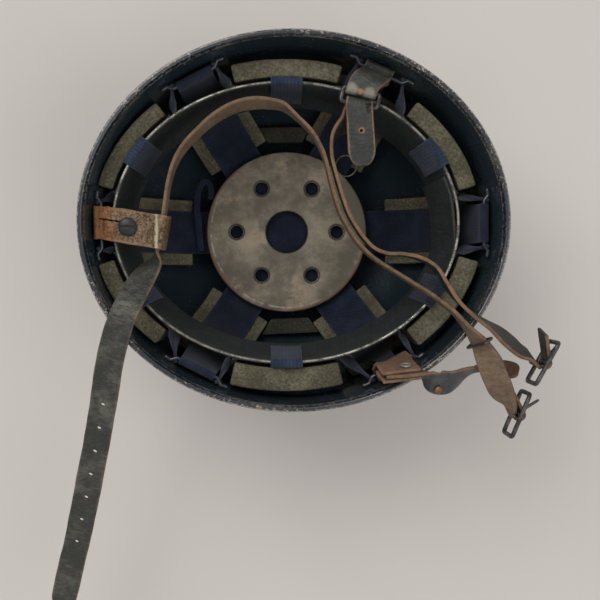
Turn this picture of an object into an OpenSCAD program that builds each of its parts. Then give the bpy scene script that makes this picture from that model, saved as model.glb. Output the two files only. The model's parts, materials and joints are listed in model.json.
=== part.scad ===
// Gendarmerie helmet of pressed steel with its webbing liner and leather chin harness.
// It lies on its crown with the opening upwards. The origin is the crown's lowest point,
// +X points to the forehead and +Z out of the opening.

/* [Shell] */
// Length of the shell over its rim, forehead to nape
shell_length = 278; // [272:1:286]
// Width of the shell over its rim
shell_width = 245; // [240:1:252]
// Depth from the crown to the rim
shell_depth = 165; // [162:1:170]
// Thickness of the pressed steel
shell_thickness = 1.2; // [0.8:0.1:1.5]
// Height of the flared wall below the rim
brim_height = 50; // [44:1:56]
// How far the rim stands out at the forehead
front_flare = 7; // [5:0.5:9]
// How far the rim stands out at the nape
nape_flare = 6; // [4:0.5:8]
// How far the rim stands out at each side
side_flare = 5; // [3:0.5:7]
// Radius of the flat on which the crown rests
crown_flat_radius = 13; // [8:1:18]
// Thickness of the folded strip round the rim
edging_thickness = 0.9; // [0.6:0.1:1.2]
// Height of the folded strip round the rim
edging_height = 5; // [4:0.5:7]

/* [Brackets] */
// Depth of the bracket bars below the rim
bar_depth = 23; // [20:1:26]
// Distance from the wall to the middle of a bar
bar_offset = 6.3; // [5.5:0.1:7.5]
// Length of the straight bar of a bracket
bar_length = 28; // [28:1:32]
// Diameter of the bracket wire
bracket_wire = 3; // [2.6:0.2:3]
// Length of a bracket foot on the wall
foot_length = 5; // [4:1:8]

/* [Headband] */
// Length of the headband's top edge
band_length = 228; // [222:1:232]
// Width of the headband's top edge
band_width = 185; // [180:1:188]
// Height of the leather headband
band_height = 42; // [34:1:46]
// How far the headband draws in towards its lower edge
band_taper = 9; // [6:0.5:12]
// Thickness of the headband leather
band_thickness = 2; // [1.6:0.1:2.2]
// Diameter of the stiffening wire on the headband's top edge
piping_wire = 2.2; // [1.8:0.1:2.4]
// Width of the blue loops that carry the headband
loop_width = 21; // [16:1:24]
// Width of the grey sling webbing
sling_width = 16; // [12:1:18]

/* [Pads] */
// Height of the foam pads below the rim
rim_pad_height = 42; // [36:1:46]
// Half the arc that a rim pad takes, in degrees
rim_pad_arc = 17; // [14:0.5:19]
// Width of the foam pads under the crown straps
strap_pad_width = 50; // [42:1:54]
// Thickness of the foam pads under the crown straps
strap_pad_thickness = 8.5; // [6:0.5:9]

/* [Crown] */
// Width of the crown straps
crown_strap_width = 32; // [28:1:36]
// Thickness of the crown straps
crown_strap_thickness = 1.2; // [1:0.1:1.3]
// Diameter of the crown disc
disc_diameter = 121; // [112:1:124]
// Thickness of the disc's facing
facing_thickness = 3; // [2:0.5:3.5]
// Thickness of the disc's backing
backing_thickness = 3.5; // [2.5:0.5:4]
// Diameter of the middle hole of the disc
disc_hole = 31; // [24:1:36]
// Diameter of the six small holes of the disc
vent_hole = 10; // [6:0.5:12]
// Diameter of the circle of the six small holes
vent_circle = 76; // [66:1:84]

/* [Harness] */
// Width of the chin and temple straps
strap_width = 18; // [16:0.5:19.5]
// Thickness of the strap leather
strap_thickness = 2.4; // [2:0.1:2.5]
// Width of the nape tab
tab_width = 22; // [20:0.5:23]
// Thickness of the thinner leather that loops over the bars
loop_leather = 2; // [1.6:0.1:2]
// Diameter of the slotted stud of the nape tab
stud_diameter = 12; // [9:0.5:13]
// Spacing of the holes punched in the straps
hole_spacing = 18; // [14:0.5:20]
// Diameter of the holes punched in the straps
hole_diameter = 3; // [2.4:0.2:3.6]
// Number of holes in the tail of the chin strap
tail_holes = 7; // [4:1:8]
// Diameter of the buckle wire
buckle_wire = 3; // [2.6:0.1:3]
// Length of a buckle frame
buckle_length = 33; // [30:1:36]
// Room between the sides of a buckle frame
buckle_room = 21.5; // [21:0.5:24]

/* [Hidden] */

$fn = 32;

// Clearances
gap = 0.3;
weld_gap = 0.3;

// Dome exponent and the flare's curve
dome_power = 2.3;
flare_power = 1.5;
around = 64;
dome_rows = 9;
brim_rows = 4;

// Half axes of the upright wall, and the middle of its length
wall_a = (shell_length - front_flare - nape_flare) / 2;
wall_b = shell_width / 2 - side_flare;
wall_x = (nape_flare - front_flare) / 2;
waist_z = shell_depth - brim_height;

// Directions of the six brackets, counted from the forehead over the wearer's right side
bracket_angles = [0, 63, 121, 181, 240, 301];
bar_z = shell_depth - bar_depth;
wire_r = bracket_wire / 2;

// Headband
band_a = band_length / 2;
band_b = band_width / 2;
band_x = -5;
band_z = bar_z + 3;
band_overlap = [8, 20];

// Loops stand half way between the brackets
loop_angles = [30, 90, 150, 210, 270, 330];
web = 1;
sling_offset = band_thickness / 2 + 0.5 + web / 2;
loop_out = sling_offset + web + 0.4;
loop_in = band_thickness / 2 + gap + 0.2 + web / 2;
piping_z = band_z + piping_wire / 2 + 0.1;
loop_top = piping_z + piping_wire / 2 + gap + web / 2;
pad_inner = loop_out + web / 2 + 0.5;
rim_pad_thickness = [12, 12, 10.5, 11.5, 15.5, 14];

// Hub where the crown straps cross
hub = [-3.5, -1.6, 34];
hub_step = crown_strap_thickness + 0.2;
backing_z = hub[2] + 2.5 * hub_step + 1;

// Leather round a bar: the webbing lies inside it
web_wrap_r = wire_r + gap + crown_strap_thickness / 2;
leather_wrap_r = wire_r + 2 * gap + crown_strap_thickness + loop_leather / 2;
buckle_r = buckle_wire / 2;
strap_wrap_r = buckle_r + gap + strap_thickness / 2;

navy = [0.07, 0.09, 0.15];
steel = [0.62, 0.62, 0.60];
foam = [0.36, 0.35, 0.28];
dark_leather = [0.13, 0.12, 0.11];
brown_leather = [0.45, 0.29, 0.17];
tan_leather = [0.55, 0.38, 0.25];
blue_web = [0.11, 0.15, 0.27];
grey_web = [0.25, 0.27, 0.34];
disc_grey = [0.50, 0.47, 0.41];
dark_metal = [0.2, 0.2, 0.19];

// Vector helpers
function unit(v) = v / norm(v);
function mix(a, b, t) = a * (1 - t) + b * t;
function head(row) = [row[0], row[1], row[2]];
function side(row) = [row[3], row[4], row[5]];
function row(p, s, w) = [p[0], p[1], p[2], s[0], s[1], s[2], w];

// Points of the hand-chosen routes follow the shell when its size changes
function fitted(p) = [
    p[0] * shell_length / 278,
    p[1] * shell_width / 245,
    p[2] + shell_depth - 165
];

// Smooth curve through rows of numbers, n steps from each row to the next
function catmull(a, b, c, d, t) =
    0.5 * (2 * b + (c - a) * t + (2 * a - 5 * b + 4 * c - d) * t * t
        + (3 * b - 3 * c + d - a) * t * t * t);
function curve(p, n) = [
    for (i = [0 : len(p) - 2])
        for (k = [0 : n - 1])
            catmull(p[max(i - 1, 0)], p[i], p[i + 1], p[min(i + 2, len(p) - 1)], k / n),
    p[len(p) - 1]
];

// Height and radius of the dome, as shares of its height and half axes, at angle f
function dome_share(f) = pow(sin(f), 2 / dome_power);
function dome_drop(f) = pow(cos(f), 2 / dome_power);
function flare_share(z) = pow(max(z - waist_z, 0) / brim_height, flare_power);

// A point of the shell: angle t, share s of the wall's half axes, height z, skin depth d
function shell_point(t, s, z, d) = [
    wall_x + (wall_a - d) * s * cos(t)
        + flare_share(z) * cos(t) * (cos(t) > 0 ? front_flare : nape_flare),
    (wall_b - d) * s * sin(t) + flare_share(z) * sin(t) * side_flare,
    z
];
function skin_rows(d) = concat(
    [[for (i = [0 : around - 1])
        shell_point(i * 360 / around, crown_flat_radius / wall_a, d, d)]],
    [for (k = [1 : dome_rows])
        let (f = 12 + 78 * k / dome_rows)
        [for (i = [0 : around - 1])
            shell_point(i * 360 / around, dome_share(f), waist_z - (waist_z - d) * dome_drop(f), d)]],
    [for (k = [1 : brim_rows])
        [for (i = [0 : around - 1])
            shell_point(i * 360 / around, 1, waist_z + brim_height * k / brim_rows, d)]]
);

// Directions and points on the inner wall beside a bracket
function out_at(t) = unit([wall_b * cos(t), wall_a * sin(t), 0]);
function along_at(t) = [-out_at(t)[1], out_at(t)[0], 0];
function wall_at(t, z) = shell_point(t, 1, z, shell_thickness);
function bar_at(k) = wall_at(bracket_angles[k], bar_z) - bar_offset * out_at(bracket_angles[k]);

// A point given from a bracket's bar: u inwards, v along the bar, w up
function from_bar(k, p) = bar_at(k) - p[0] * out_at(bracket_angles[k])
    + p[1] * along_at(bracket_angles[k]) + [0, 0, p[2]];
function bar_rows(k, pts, w) = [for (p = pts) row(from_bar(k, p), along_at(bracket_angles[k]), w)];
function bar_wrap(k, r, a0, a1, v, w, steps) = [
    for (i = [0 : steps])
        let (a = a0 + (a1 - a0) * i / steps)
        row(from_bar(k, [r * cos(a), v, r * sin(a)]), along_at(bracket_angles[k]), w)
];

// Pulls a point that lies beyond the inner wall back to c in front of it
function wall_share(z) = z >= waist_z ? 1
    : pow(1 - pow((waist_z - z) / waist_z, dome_power), 1 / dome_power);
function kept_in(p, c) =
    let (f = flare_share(p[2]),
        a = (wall_a - shell_thickness) * wall_share(p[2])
            + f * (p[0] > wall_x ? front_flare : nape_flare) - c,
        b = (wall_b - shell_thickness) * wall_share(p[2]) + f * side_flare - c,
        h = norm([(p[0] - wall_x) / a, p[1] / b]))
    h > 1 ? [wall_x + (p[0] - wall_x) / h, p[1] / h, p[2]] : p;

// Points round the headband: angle t, offset d outwards, height z
function band_share(z) = (band_z - z) / band_height;
function band_out(t) = unit([band_b * cos(t), band_a * sin(t), 0]);
function band_at(t, d, z) = [
    band_x + (band_a - band_taper * band_share(z)) * cos(t) + d * band_out(t)[0],
    (band_b - band_taper * band_share(z)) * sin(t) + d * band_out(t)[1],
    z
];

// Closed solid whose faces are turned round where they point inwards
function face_sum(points, f) =
    let (v = [for (i = [1 : len(f) - 2]) points[f[0]] * cross(points[f[i]], points[f[i + 1]])])
    v * [for (x = v) 1];
module closed_solid(points, faces) {
    v = [for (f = faces) face_sum(points, f)];
    inwards = v * [for (x = v) 1] > 0;
    polyhedron(points, inwards ? [for (f = faces) reversed(f)] : faces, 8);
}

// Closed slab between two grids of points with as many rows and columns
module slab(upper, lower) {
    m = len(upper);
    n = len(upper[0]);
    size = m * n;
    points = concat([for (r = upper) each r], [for (r = lower) each r]);
    faces = concat(
        [for (i = [0 : m - 2]) for (j = [0 : n - 2]) each [
            [i * n + j, (i + 1) * n + j, i * n + j + 1],
            [(i + 1) * n + j, (i + 1) * n + j + 1, i * n + j + 1],
            [size + i * n + j, size + i * n + j + 1, size + (i + 1) * n + j],
            [size + (i + 1) * n + j, size + i * n + j + 1, size + (i + 1) * n + j + 1]]],
        [for (i = [0 : m - 2]) each [
            [i * n, size + i * n, (i + 1) * n],
            [(i + 1) * n, size + i * n, size + (i + 1) * n],
            [i * n + n - 1, (i + 1) * n + n - 1, size + i * n + n - 1],
            [(i + 1) * n + n - 1, size + (i + 1) * n + n - 1, size + i * n + n - 1]]],
        [for (j = [0 : n - 2]) each [
            [j, j + 1, size + j],
            [j + 1, size + j + 1, size + j],
            [(m - 1) * n + j, size + (m - 1) * n + j, (m - 1) * n + j + 1],
            [(m - 1) * n + j + 1, size + (m - 1) * n + j, size + (m - 1) * n + j + 1]]]
    );
    closed_solid(points, faces);
}

// Directions at one row of a strap: its run, its width and its face
function run_at(rows, i) = unit(head(rows[min(i + 1, len(rows) - 1)]) - head(rows[max(i - 1, 0)]));
function width_at(rows, i) =
    let (t = run_at(rows, i), s = side(rows[i]))
    unit(s - t * (s * t));
function face_at(rows, i) = cross(run_at(rows, i), width_at(rows, i));
function layer(rows, d) = [
    for (i = [0 : len(rows) - 1])
        let (p = head(rows[i]) + d * face_at(rows, i), h = width_at(rows, i) * rows[i][6] / 2)
        [p - h, p + h]
];

// Flat strap along rows of [place, width direction, width]
module ribbon(rows, thickness) {
    slab(layer(rows, thickness / 2), layer(rows, -thickness / 2));
}

// Straight round rod with rounded ends
module rod(a, b, r) {
    d = b - a;
    translate(a)
        rotate([0, acos(d[2] / norm(d)), atan2(d[1], d[0])])
            cylinder(h = norm(d), r = r);
}
module bent_rod(points, r) {
    for (i = [0 : len(points) - 2])
        rod(points[i], points[i + 1], r);
    for (i = [1 : len(points) - 2])
        translate(points[i])
            sphere(r = r + 0.08);
}

// Closed loop of straight rods with a ball at each corner
module wire_loop(points, r) {
    for (i = [0 : len(points) - 1]) {
        rod(points[i], points[(i + 1) % len(points)], r);
        translate(points[i])
            sphere(r = r + 0.08);
    }
}

// Turns the Z axis to direction d, with its foot at p
module along(p, d) {
    translate(p)
        rotate([0, acos(d[2] / norm(d)), atan2(d[1], d[0])])
            children();
}

// Closed tube of n sides round a closed route of points, in a frame with side direction e
module ring_tube(route, r, sides) {
    m = len(route);
    points = [for (i = [0 : m - 1])
        let (t = unit(route[(i + 1) % m] - route[(i + m - 1) % m]),
            e = unit(cross(t, [0.01, 0.02, 1])), f = cross(t, e))
        for (k = [0 : sides - 1])
            route[i] + r * cos(360 * k / sides) * e + r * sin(360 * k / sides) * f];
    faces = [for (i = [0 : m - 1]) for (k = [0 : sides - 1])
        let (a = i * sides + k, b = i * sides + (k + 1) % sides,
            c = ((i + 1) % m) * sides + k, d = ((i + 1) % m) * sides + (k + 1) % sides)
        each [[a, b, c], [b, d, c]]];
    closed_solid(points, faces);
}

// Open tube of n sides along rows of [place, radius]
module tube(rows, sides) {
    m = len(rows);
    points = [for (i = [0 : m - 1])
        let (t = unit(rows[min(i + 1, m - 1)][0] - rows[max(i - 1, 0)][0]),
            e = unit(cross(t, [0.01, 0.02, 1])), f = cross(t, e))
        for (k = [0 : sides - 1])
            rows[i][0] + rows[i][1] * (cos(360 * k / sides) * e + sin(360 * k / sides) * f)];
    faces = concat(
        [[for (k = [0 : sides - 1]) k]],
        [[for (k = [sides - 1 : -1 : 0]) (m - 1) * sides + k]],
        [for (i = [0 : m - 2]) for (k = [0 : sides - 1])
            let (a = i * sides + k, b = i * sides + (k + 1) % sides)
            each [[a, a + sides, b], [b, a + sides, b + sides]]]
    );
    closed_solid(points, faces);
}

module shell() {
    outer = skin_rows(0);
    inner = skin_rows(shell_thickness);
    rings = len(outer);
    size = rings * around;
    points = concat([for (r = outer) each r], [for (r = inner) each r]);
    faces = concat(
        [[for (i = [0 : around - 1]) i]],
        [[for (i = [around - 1 : -1 : 0]) size + i]],
        [for (k = [0 : rings - 2]) for (i = [0 : around - 1])
            let (j = (i + 1) % around, a = k * around + i, b = k * around + j,
                c = a + around, d = b + around)
            each [[a, c, b], [c, d, b], [size + a, size + b, size + c],
                [size + c, size + b, size + d]]],
        [for (i = [0 : around - 1])
            let (j = (i + 1) % around, a = (rings - 1) * around + i, b = (rings - 1) * around + j)
            each [[a, size + a, b], [b, size + a, size + b]]]
    );
    color(navy)
        closed_solid(points, faces);
}

// Folded strip over the rim: a channel whose legs stand clear of the shell's two faces
function edging_ring(z, d) = [
    for (i = [0 : around - 1])
        let (t = i * 360 / around, p = shell_point(t, 1, min(z, shell_depth), 0) - d * out_at(t))
        [p[0], p[1], z]
];
module rim_edging() {
    clear = 0.15;
    low = shell_depth - edging_height;
    inner_d = shell_thickness + clear;
    rows = [
        edging_ring(low, -clear), edging_ring(low, -clear - edging_thickness),
        edging_ring(shell_depth, -clear - edging_thickness),
        edging_ring(shell_depth + 0.9 * edging_thickness, -clear - edging_thickness / 3),
        edging_ring(shell_depth + clear + edging_thickness, shell_thickness / 2),
        edging_ring(shell_depth + 0.9 * edging_thickness, inner_d + edging_thickness / 3),
        edging_ring(shell_depth, inner_d + edging_thickness),
        edging_ring(low, inner_d + edging_thickness), edging_ring(low, inner_d),
        edging_ring(shell_depth + clear, inner_d), edging_ring(shell_depth + clear, -clear)
    ];
    m = len(rows);
    points = [for (r = rows) each r];
    faces = [for (k = [0 : m - 1]) for (i = [0 : around - 1])
        let (j = (i + 1) % around, a = k * around + i, b = k * around + j,
            c = ((k + 1) % m) * around + i, d = ((k + 1) % m) * around + j)
        each [[a, c, b], [c, d, b]]];
    color(steel)
        closed_solid(points, faces);
}

// Wire bracket: foot, slanting leg, bar, slanting leg, foot
function foot_point(k, v) =
    let (c = bracket_angles[k],
        t = c + v / norm([wall_a * sin(c), wall_b * cos(c)]) * 180 / PI)
    wall_at(t, bar_z) - (wire_r + weld_gap) * out_at(t);
function bar_end(k, s) = from_bar(k, [0, s * (bar_length / 2 + 1), 0]);
function leg_rows(k, s) =
    let (a = s * along_at(bracket_angles[k]), e = bar_end(k, s), f = foot_point(k, s * (bar_length / 2 + 5)),
        g = foot_point(k, s * (bar_length / 2 + 5 + foot_length)), d = unit(g - f))
    [
        [e - 2.2 * a, wire_r - 0.25], [e - 0.8 * a, wire_r - 0.1], [e - 0.5 * a, wire_r],
        [e, wire_r * 1.03], [(e + f) / 2, wire_r], [f, wire_r * 1.03], [f + 1.2 * d, wire_r],
        [g, wire_r], [g + 0.7 * d, wire_r * 0.5]
    ];
module bracket(k) {
    color(navy) {
        rod(from_bar(k, [0, -bar_length / 2, 0]), from_bar(k, [0, bar_length / 2, 0]), wire_r);
        for (s = [-1, 1])
            tube(leg_rows(k, s), 8);
    }
}

// Foam pad between the wall and the headband, with eased edges
module rim_pad(k) {
    t0 = loop_angles[k] + (k == 3 ? 0.8 : 0);
    arc = rim_pad_arc - (k == 3 ? 0.8 : 0);
    top = band_z - 2;
    low = top - rim_pad_height;
    ease = 1.5;
    cols = 8;
    heights = [low, low + ease, (low + top) / 2, top - ease, top];
    function grid(d, s) = [
        for (i = [0 : cols])
            let (t = t0 + arc * (2 * i / cols - 1), e = (i == 0 || i == cols) ? s * ease : 0)
            [for (j = [0 : 4])
                kept_in(band_at(t, d - e - ((j == 0 || j == 4) ? s * ease : 0), heights[j])
                    + band_share(heights[j]) * band_taper * band_out(t),
                    0.8 + ((i == 0 || i == cols || j == 0 || j == 4) ? ease : 0))]
    ];
    color(foam)
        slab(grid(pad_inner, 0), grid(pad_inner + rim_pad_thickness[k], 1));
}

// Leather headband whose ends overlap near the forehead
function band_step(t) = t < 350 ? 0 : min((t - 350) / 12, 1) * (band_thickness + gap);
module headband() {
    steps = 72;
    span = 360 + band_overlap[1] - band_overlap[0];
    heights = [for (j = [0 : 2]) band_z - band_height * j / 2];
    function grid(d) = [
        for (i = [0 : steps])
            let (t = band_overlap[0] + span * i / steps)
            [for (z = heights) band_at(t, d - band_step(t), z)]
    ];
    color(dark_leather)
        slab(grid(-band_thickness / 2), grid(band_thickness / 2));
}
module headband_wire() {
    color(steel)
        ring_tube([for (i = [0 : 59]) band_at(i * 6, 0, piping_z)], piping_wire / 2, 6);
}

// Grey webbing from one bracket's leg, behind the headband, to the next bracket's leg
function leg_middle(k, s) = mix(bar_end(k, s), foot_point(k, s * (bar_length / 2 + 5)), 0.32);
function leg_along(k, s) = unit(foot_point(k, s * (bar_length / 2 + 5)) - bar_end(k, s));
function sling_end(k, s) =
    let (c = leg_middle(k, s), a = s * leg_along(k, s), r = wire_r + gap + web / 2,
        q = unit(cross([0, 0, 1], a)), d = q * (q * (-out_at(bracket_angles[k])) > 0 ? 1 : -1))
    [for (h = [270 : -30 : 90]) row(c - r * cos(h) * (-d) + [0, 0, r * sin(h)], a, 2.4)];
function band_down(t) =
    unit(band_at(t, 0, band_z - band_height) - band_at(t, 0, band_z));
function sling_row(t, d) =
    row(band_at(t, sling_offset + d, band_z - 2.5 - sling_width / 2), band_down(t), sling_width);
function sling_rows(k) =
    let (k2 = (k + 1) % 6, t = loop_angles[k], edge = rim_pad_arc + 2,
        first = sling_end(k, 1), last = sling_end(k2, -1),
        a = head(first[0]), b = head(last[0]),
        p = sling_row(t - edge, 2.4), q = sling_row(t + edge, 2.4))
    concat(
        [for (i = [len(first) - 1 : -1 : 1]) first[i]],
        curve([
            first[0],
            row(mix(a, head(p), 0.3), side(first[0]), 3),
            row(mix(a, head(p), 0.65), unit(mix(side(first[0]), side(p), 0.5)), 8),
            p, sling_row(t - edge + 1.6, 1), sling_row(t - edge + 4, 0.3),
            sling_row(t - 10, 0.1), sling_row(t - 5, 0), sling_row(t, 0), sling_row(t + 5, 0),
            sling_row(t + 10, 0.1), sling_row(t + edge - 4, 0.3), sling_row(t + edge - 1.6, 1), q,
            row(mix(b, head(q), 0.65), unit(mix(side(last[0]), side(q), 0.5)), 8),
            row(mix(b, head(q), 0.3), side(last[0]), 3),
            last[0]
        ], 2),
        [for (i = [1 : len(last) - 1]) last[i]]
    );
module sling(k) {
    color(grey_web)
        ribbon(sling_rows(k), web);
}

// Blue webbing folded over the headband and the sling
module band_loop(k) {
    t0 = loop_angles[k];
    half = loop_width / 2 / norm(band_at(t0, 0, band_z) - [band_x, 0, band_z]) * 180 / PI;
    mid = (loop_out - loop_in) / 2;
    reach = (loop_out + loop_in) / 2;
    profile = concat(
        [[loop_out, band_z - 24], [loop_out, band_z - 12]],
        [for (a = [0 : 20 : 180])
            [mid + reach * sign(cos(a)) * pow(abs(cos(a)), 0.55), loop_top - 3 + 3 * pow(sin(a), 0.55)]],
        [[-loop_in, band_z - 14], [-loop_in, band_z - 30]]
    );
    n = len(profile);
    function turned(i) =
        let (d = unit(profile[min(i + 1, n - 1)] - profile[max(i - 1, 0)]))
        [-d[1], d[0]];
    function grid(s) = [
        for (i = [0 : n - 1])
            [for (j = [-1 : 1])
                let (q = profile[i] + s * web / 2 * turned(i))
                band_at(t0 + half * j, q[0], q[1])]
    ];
    color(blue_web)
        slab(grid(1), grid(-1));
}

// Crown strap: profile of one half from the bar down to the hub, as share of its reach and height
strap_profile = [
    [0.955, bar_z - 20], [0.94, 108], [0.928, 92], [0.9, 78], [0.843, 63],
    [0.762, 50], [0.68, 42], [0.583, 36.2], [0.47, 34.2], [0.36, 34]
];
narrow = [26, 12, 26, 12, 26, 12];
function strap_run(k) = unit([bar_at(k)[0] - hub[0], bar_at(k)[1] - hub[1], 0]);
function strap_reach(k) = norm([bar_at(k)[0] - hub[0], bar_at(k)[1] - hub[1]]) - web_wrap_r;
function strap_side(k) = [-strap_run(k)[1], strap_run(k)[0], 0];
function half_strap(k, s) = [
    for (i = [0 : len(strap_profile) - 1])
        let (q = strap_profile[i], z = q[1] < 80 ? q[1] + hub_step * (k % 3) : q[1],
            w = i == 0 ? narrow[k] + 2 : i == 1 ? (narrow[k] + crown_strap_width) / 2
                : crown_strap_width)
        row([hub[0], hub[1], 0] + strap_run(k) * (strap_reach(k) * q[0]) + [0, 0, z],
            s * strap_side(k), w)
];
function strap_fold(k, s) = [
    for (a = [0 : 30 : 180])
        row(from_bar(k, [web_wrap_r * cos(a), 0, web_wrap_r * sin(a)]),
            s * along_at(bracket_angles[k]), narrow[k])
];
function strap_hem(k, s) = [
    row(from_bar(k, [0.2, 0, -24]), s * along_at(bracket_angles[k]), narrow[k]),
    row(from_bar(k, [-1.6, 0, -14]), s * along_at(bracket_angles[k]), narrow[k]),
    row(from_bar(k, [-web_wrap_r, 0, -5]), s * along_at(bracket_angles[k]), narrow[k])
];
function reversed(v) = [for (i = [len(v) - 1 : -1 : 0]) v[i]];
function end_rows(k, s) = concat(
    strap_hem(k, s), reversed(strap_fold(k, s)),
    curve(concat(
        [row(from_bar(k, [web_wrap_r, 0, -5]), s * along_at(bracket_angles[k]), narrow[k])],
        half_strap(k, s)), 2)
);
module crown_strap(k) {
    color(blue_web)
        ribbon(concat(end_rows(k, 1), reversed(end_rows(k + 3, -1))), crown_strap_thickness);
}

// Foam pad under a crown strap
module strap_pad(k) {
    rows = curve([for (i = [1 : 7]) half_strap(k, 1)[i]], 2);
    top = crown_strap_thickness / 2 + gap;
    cols = 4;
    function grid(d, e) = [
        for (i = [1 : len(rows) - 1])
            let (w = width_at(rows, i), f = face_at(rows, i), up = f[2] < 0 ? -1 : 1,
                last = i == 1 || i == len(rows) - 1)
            [for (j = [0 : cols])
                let (c = (j == 0 || j == cols || last) ? e : 0)
                kept_in(head(rows[i]) - up * (d - c) * f + w * strap_pad_width * (j / cols - 0.5), 0.8)]
    ];
    color(foam)
        slab(grid(top, 0), grid(top + strap_pad_thickness, 1.5));
}

// Foam bridge between the sides of two neighbouring strap pads
function side_x(k, s, y) =
    let (d = strap_run(k))
    hub[0] + (d[0] * (y - hub[1]) - s * (strap_pad_width / 2 + 0.4)) / d[1];
module bridge_pad(k, s) {
    low = hub[2] - 5.5;
    far = s * 0.938 * (wall_b - shell_thickness) * wall_share(low);
    near = far - s * 12;
    color(foam)
        translate([0, 0, low])
            linear_extrude(7)
                polygon([[side_x(k, 1, near), near], [side_x(k, 1, far), far],
                    [side_x(k + 1, -1, far), far], [side_x(k + 1, -1, near), near]]);
}

module disc_plate(z, r, h) {
    difference() {
        translate([hub[0], hub[1], z])
            cylinder(h = h, r = r, $fn = 96);
        translate([hub[0], hub[1], z - 1])
            cylinder(h = h + 2, d = disc_hole);
        for (k = [0 : 5])
            translate([hub[0] + vent_circle / 2 * cos(60 * k), hub[1] + vent_circle / 2 * sin(60 * k), z - 1])
                cylinder(h = h + 2, d = vent_hole);
    }
}
module disc_backing() {
    color(dark_leather)
        disc_plate(backing_z, disc_diameter / 2 - 0.8, backing_thickness);
}
module disc_facing() {
    color(disc_grey)
        disc_plate(backing_z + backing_thickness, disc_diameter / 2, facing_thickness);
}

// Small blue loop beside the disc, by which the crown is drawn out
pull_points = [
    [-68.4, -16, 40.5], [-69.6, -6, 41.5], [-70.8, 6, 43], [-71.4, 18, 44.5], [-70.6, 28, 45.5],
    [-67, 35.5, 46], [-62.8, 35.6, 45.5], [-60.9, 30, 44.5], [-61.6, 23, 42.5]
];
module pull_loop() {
    color(blue_web)
        ribbon(curve([for (i = [0 : len(pull_points) - 1])
            let (p = pull_points[i], q = pull_points[max(i - 1, 0)],
                r = pull_points[min(i + 1, len(pull_points) - 1)],
                d = unit([r[0] - q[0], r[1] - q[1], 0]))
            row(p, [-d[1], d[0], 0], 4.4)], 3), 1.4);
}

// Frame of a bracket's bar: X inwards, Y along the bar
module at_bar(k) {
    translate(bar_at(k))
        rotate([0, 0, atan2(-out_at(bracket_angles[k])[1], -out_at(bracket_angles[k])[0])])
            children();
}

// Window in a leather fold, through which the narrow end of the crown strap leaves the bar
module strap_window(reach) {
    translate([-8, -7.5, -9])
        cube([8 + reach, 15, 11]);
}

// Nape tab: round the bar, under the stud, over the chin strap and back
tab_skew = 0.19;
function tab_v(u) = -1.8 + tab_skew * u;
function tab_rows(list) = [
    for (q = list)
        row(from_bar(3, [q[0], tab_v(q[0]), q[1]]),
            unit(along_at(bracket_angles[3])
                + tab_skew * min(max((q[0] - 4) / 12, 0), 1) * out_at(bracket_angles[3])), tab_width)
];
stud_u = 19;
stud_w = 9;
pile = loop_leather + gap;
module nape_tab() {
    inner = tab_rows([
        [stud_u + 3.5, stud_w], [stud_u, stud_w], [13, stud_w - 0.3], [9, stud_w - 1.3], [6.1, 4.7]
    ]);
    top = tab_rows([
        [1.6, 6.2], [5, 9.2], [9, 10.8], [12.6, stud_w + pile], [stud_u + 6.4, stud_w + pile],
        [29.5, stud_w + pile + 1.6], [33.5, stud_w + pile + 4], [36.8, 17.2]
    ]);
    loop = tab_rows([
        [38.4, 18.3], [40.3, 18.6], [42.2, 17.8], [43.4, 15.5], [43.8, 11], [43.8, 4], [43.4, -0.5],
        [42, -3.2], [40, -4], [38, -3.2], [35.5, -0.6], [31, 3.2], [26, 5.8]
    ]);
    end = tab_rows([[stud_u + 4, stud_w - pile], [stud_u - 4, stud_w - pile]]);
    color(brown_leather)
        resize([0, 0, 0]) difference() {
            ribbon(concat(
                curve(inner, 2),
                bar_wrap(3, leather_wrap_r, -15, -260, -1.8, tab_width, 10),
                concat(top, loop, end)
            ), loop_leather);
            at_bar(3)
                strap_window(3.6);
            translate(from_bar(3, [stud_u, tab_v(stud_u), 0]))
                cylinder(h = 20, d = stud_shank + 0.6, $fn = 16);
        }
}

stud_shank = 4;
module nape_stud() {
    foot = from_bar(3, [stud_u, tab_v(stud_u), stud_w - pile - loop_leather / 2 - 1.3]);
    head_z = 2 * pile + loop_leather + 1.6;
    color(dark_metal)
        difference() {
            union() {
                translate(foot)
                    cylinder(h = 1, d = 9);
                translate(foot)
                    cylinder(h = head_z + 1, d = stud_shank);
                translate(foot + [0, 0, head_z])
                    cylinder(h = 1.6, d = stud_diameter);
                translate(foot + [0, 0, head_z + 1.6])
                    cylinder(h = 1, d1 = stud_diameter, d2 = stud_diameter - 2.4);
            }
            translate(foot + [-stud_diameter / 2 - 1, -0.6, head_z + 1.4])
                cube([stud_diameter + 2, 1.2, 3]);
        }
}

// Chin strap, from the pointed end of its tail to the chin buckle
flat = [0.96, -0.28, 0];
tail_points = [
    [[-164, -274, 97], flat, 5], [[-162, -267, 99.5], flat, 13], [[-161, -261, 102], flat, 17.5],
    [[-155, -238, 109], flat, 18], [[-149, -216, 116], flat, 18], [[-140, -181, 128], flat, 18],
    [[-131, -143, 141.5], flat, 18], [[-124, -112, 154], flat, 18], [[-118.5, -88, 165], flat, 18],
    [[-113.5, -72, 172], [0.94, -0.27, 0.08], 18], [[-109, -59.5, 173.5], [0.94, -0.27, 0.12], 18],
    [[-104, -48, 167], [0.93, -0.26, 0.2], 18], [[-98.5, -37, 159], [0.88, -0.25, 0.4], 18],
    [[-93.5, -28, 152], [0.65, -0.16, 0.74], 18], [[-90.6, -20.5, 149.4], [0.12, 0, 0.99], 18],
    [[-88.1, -8, 149], [0, 0, 1], 18], [[-85.7, 4.5, 149], [0, 0, 1], 18]
];
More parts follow.
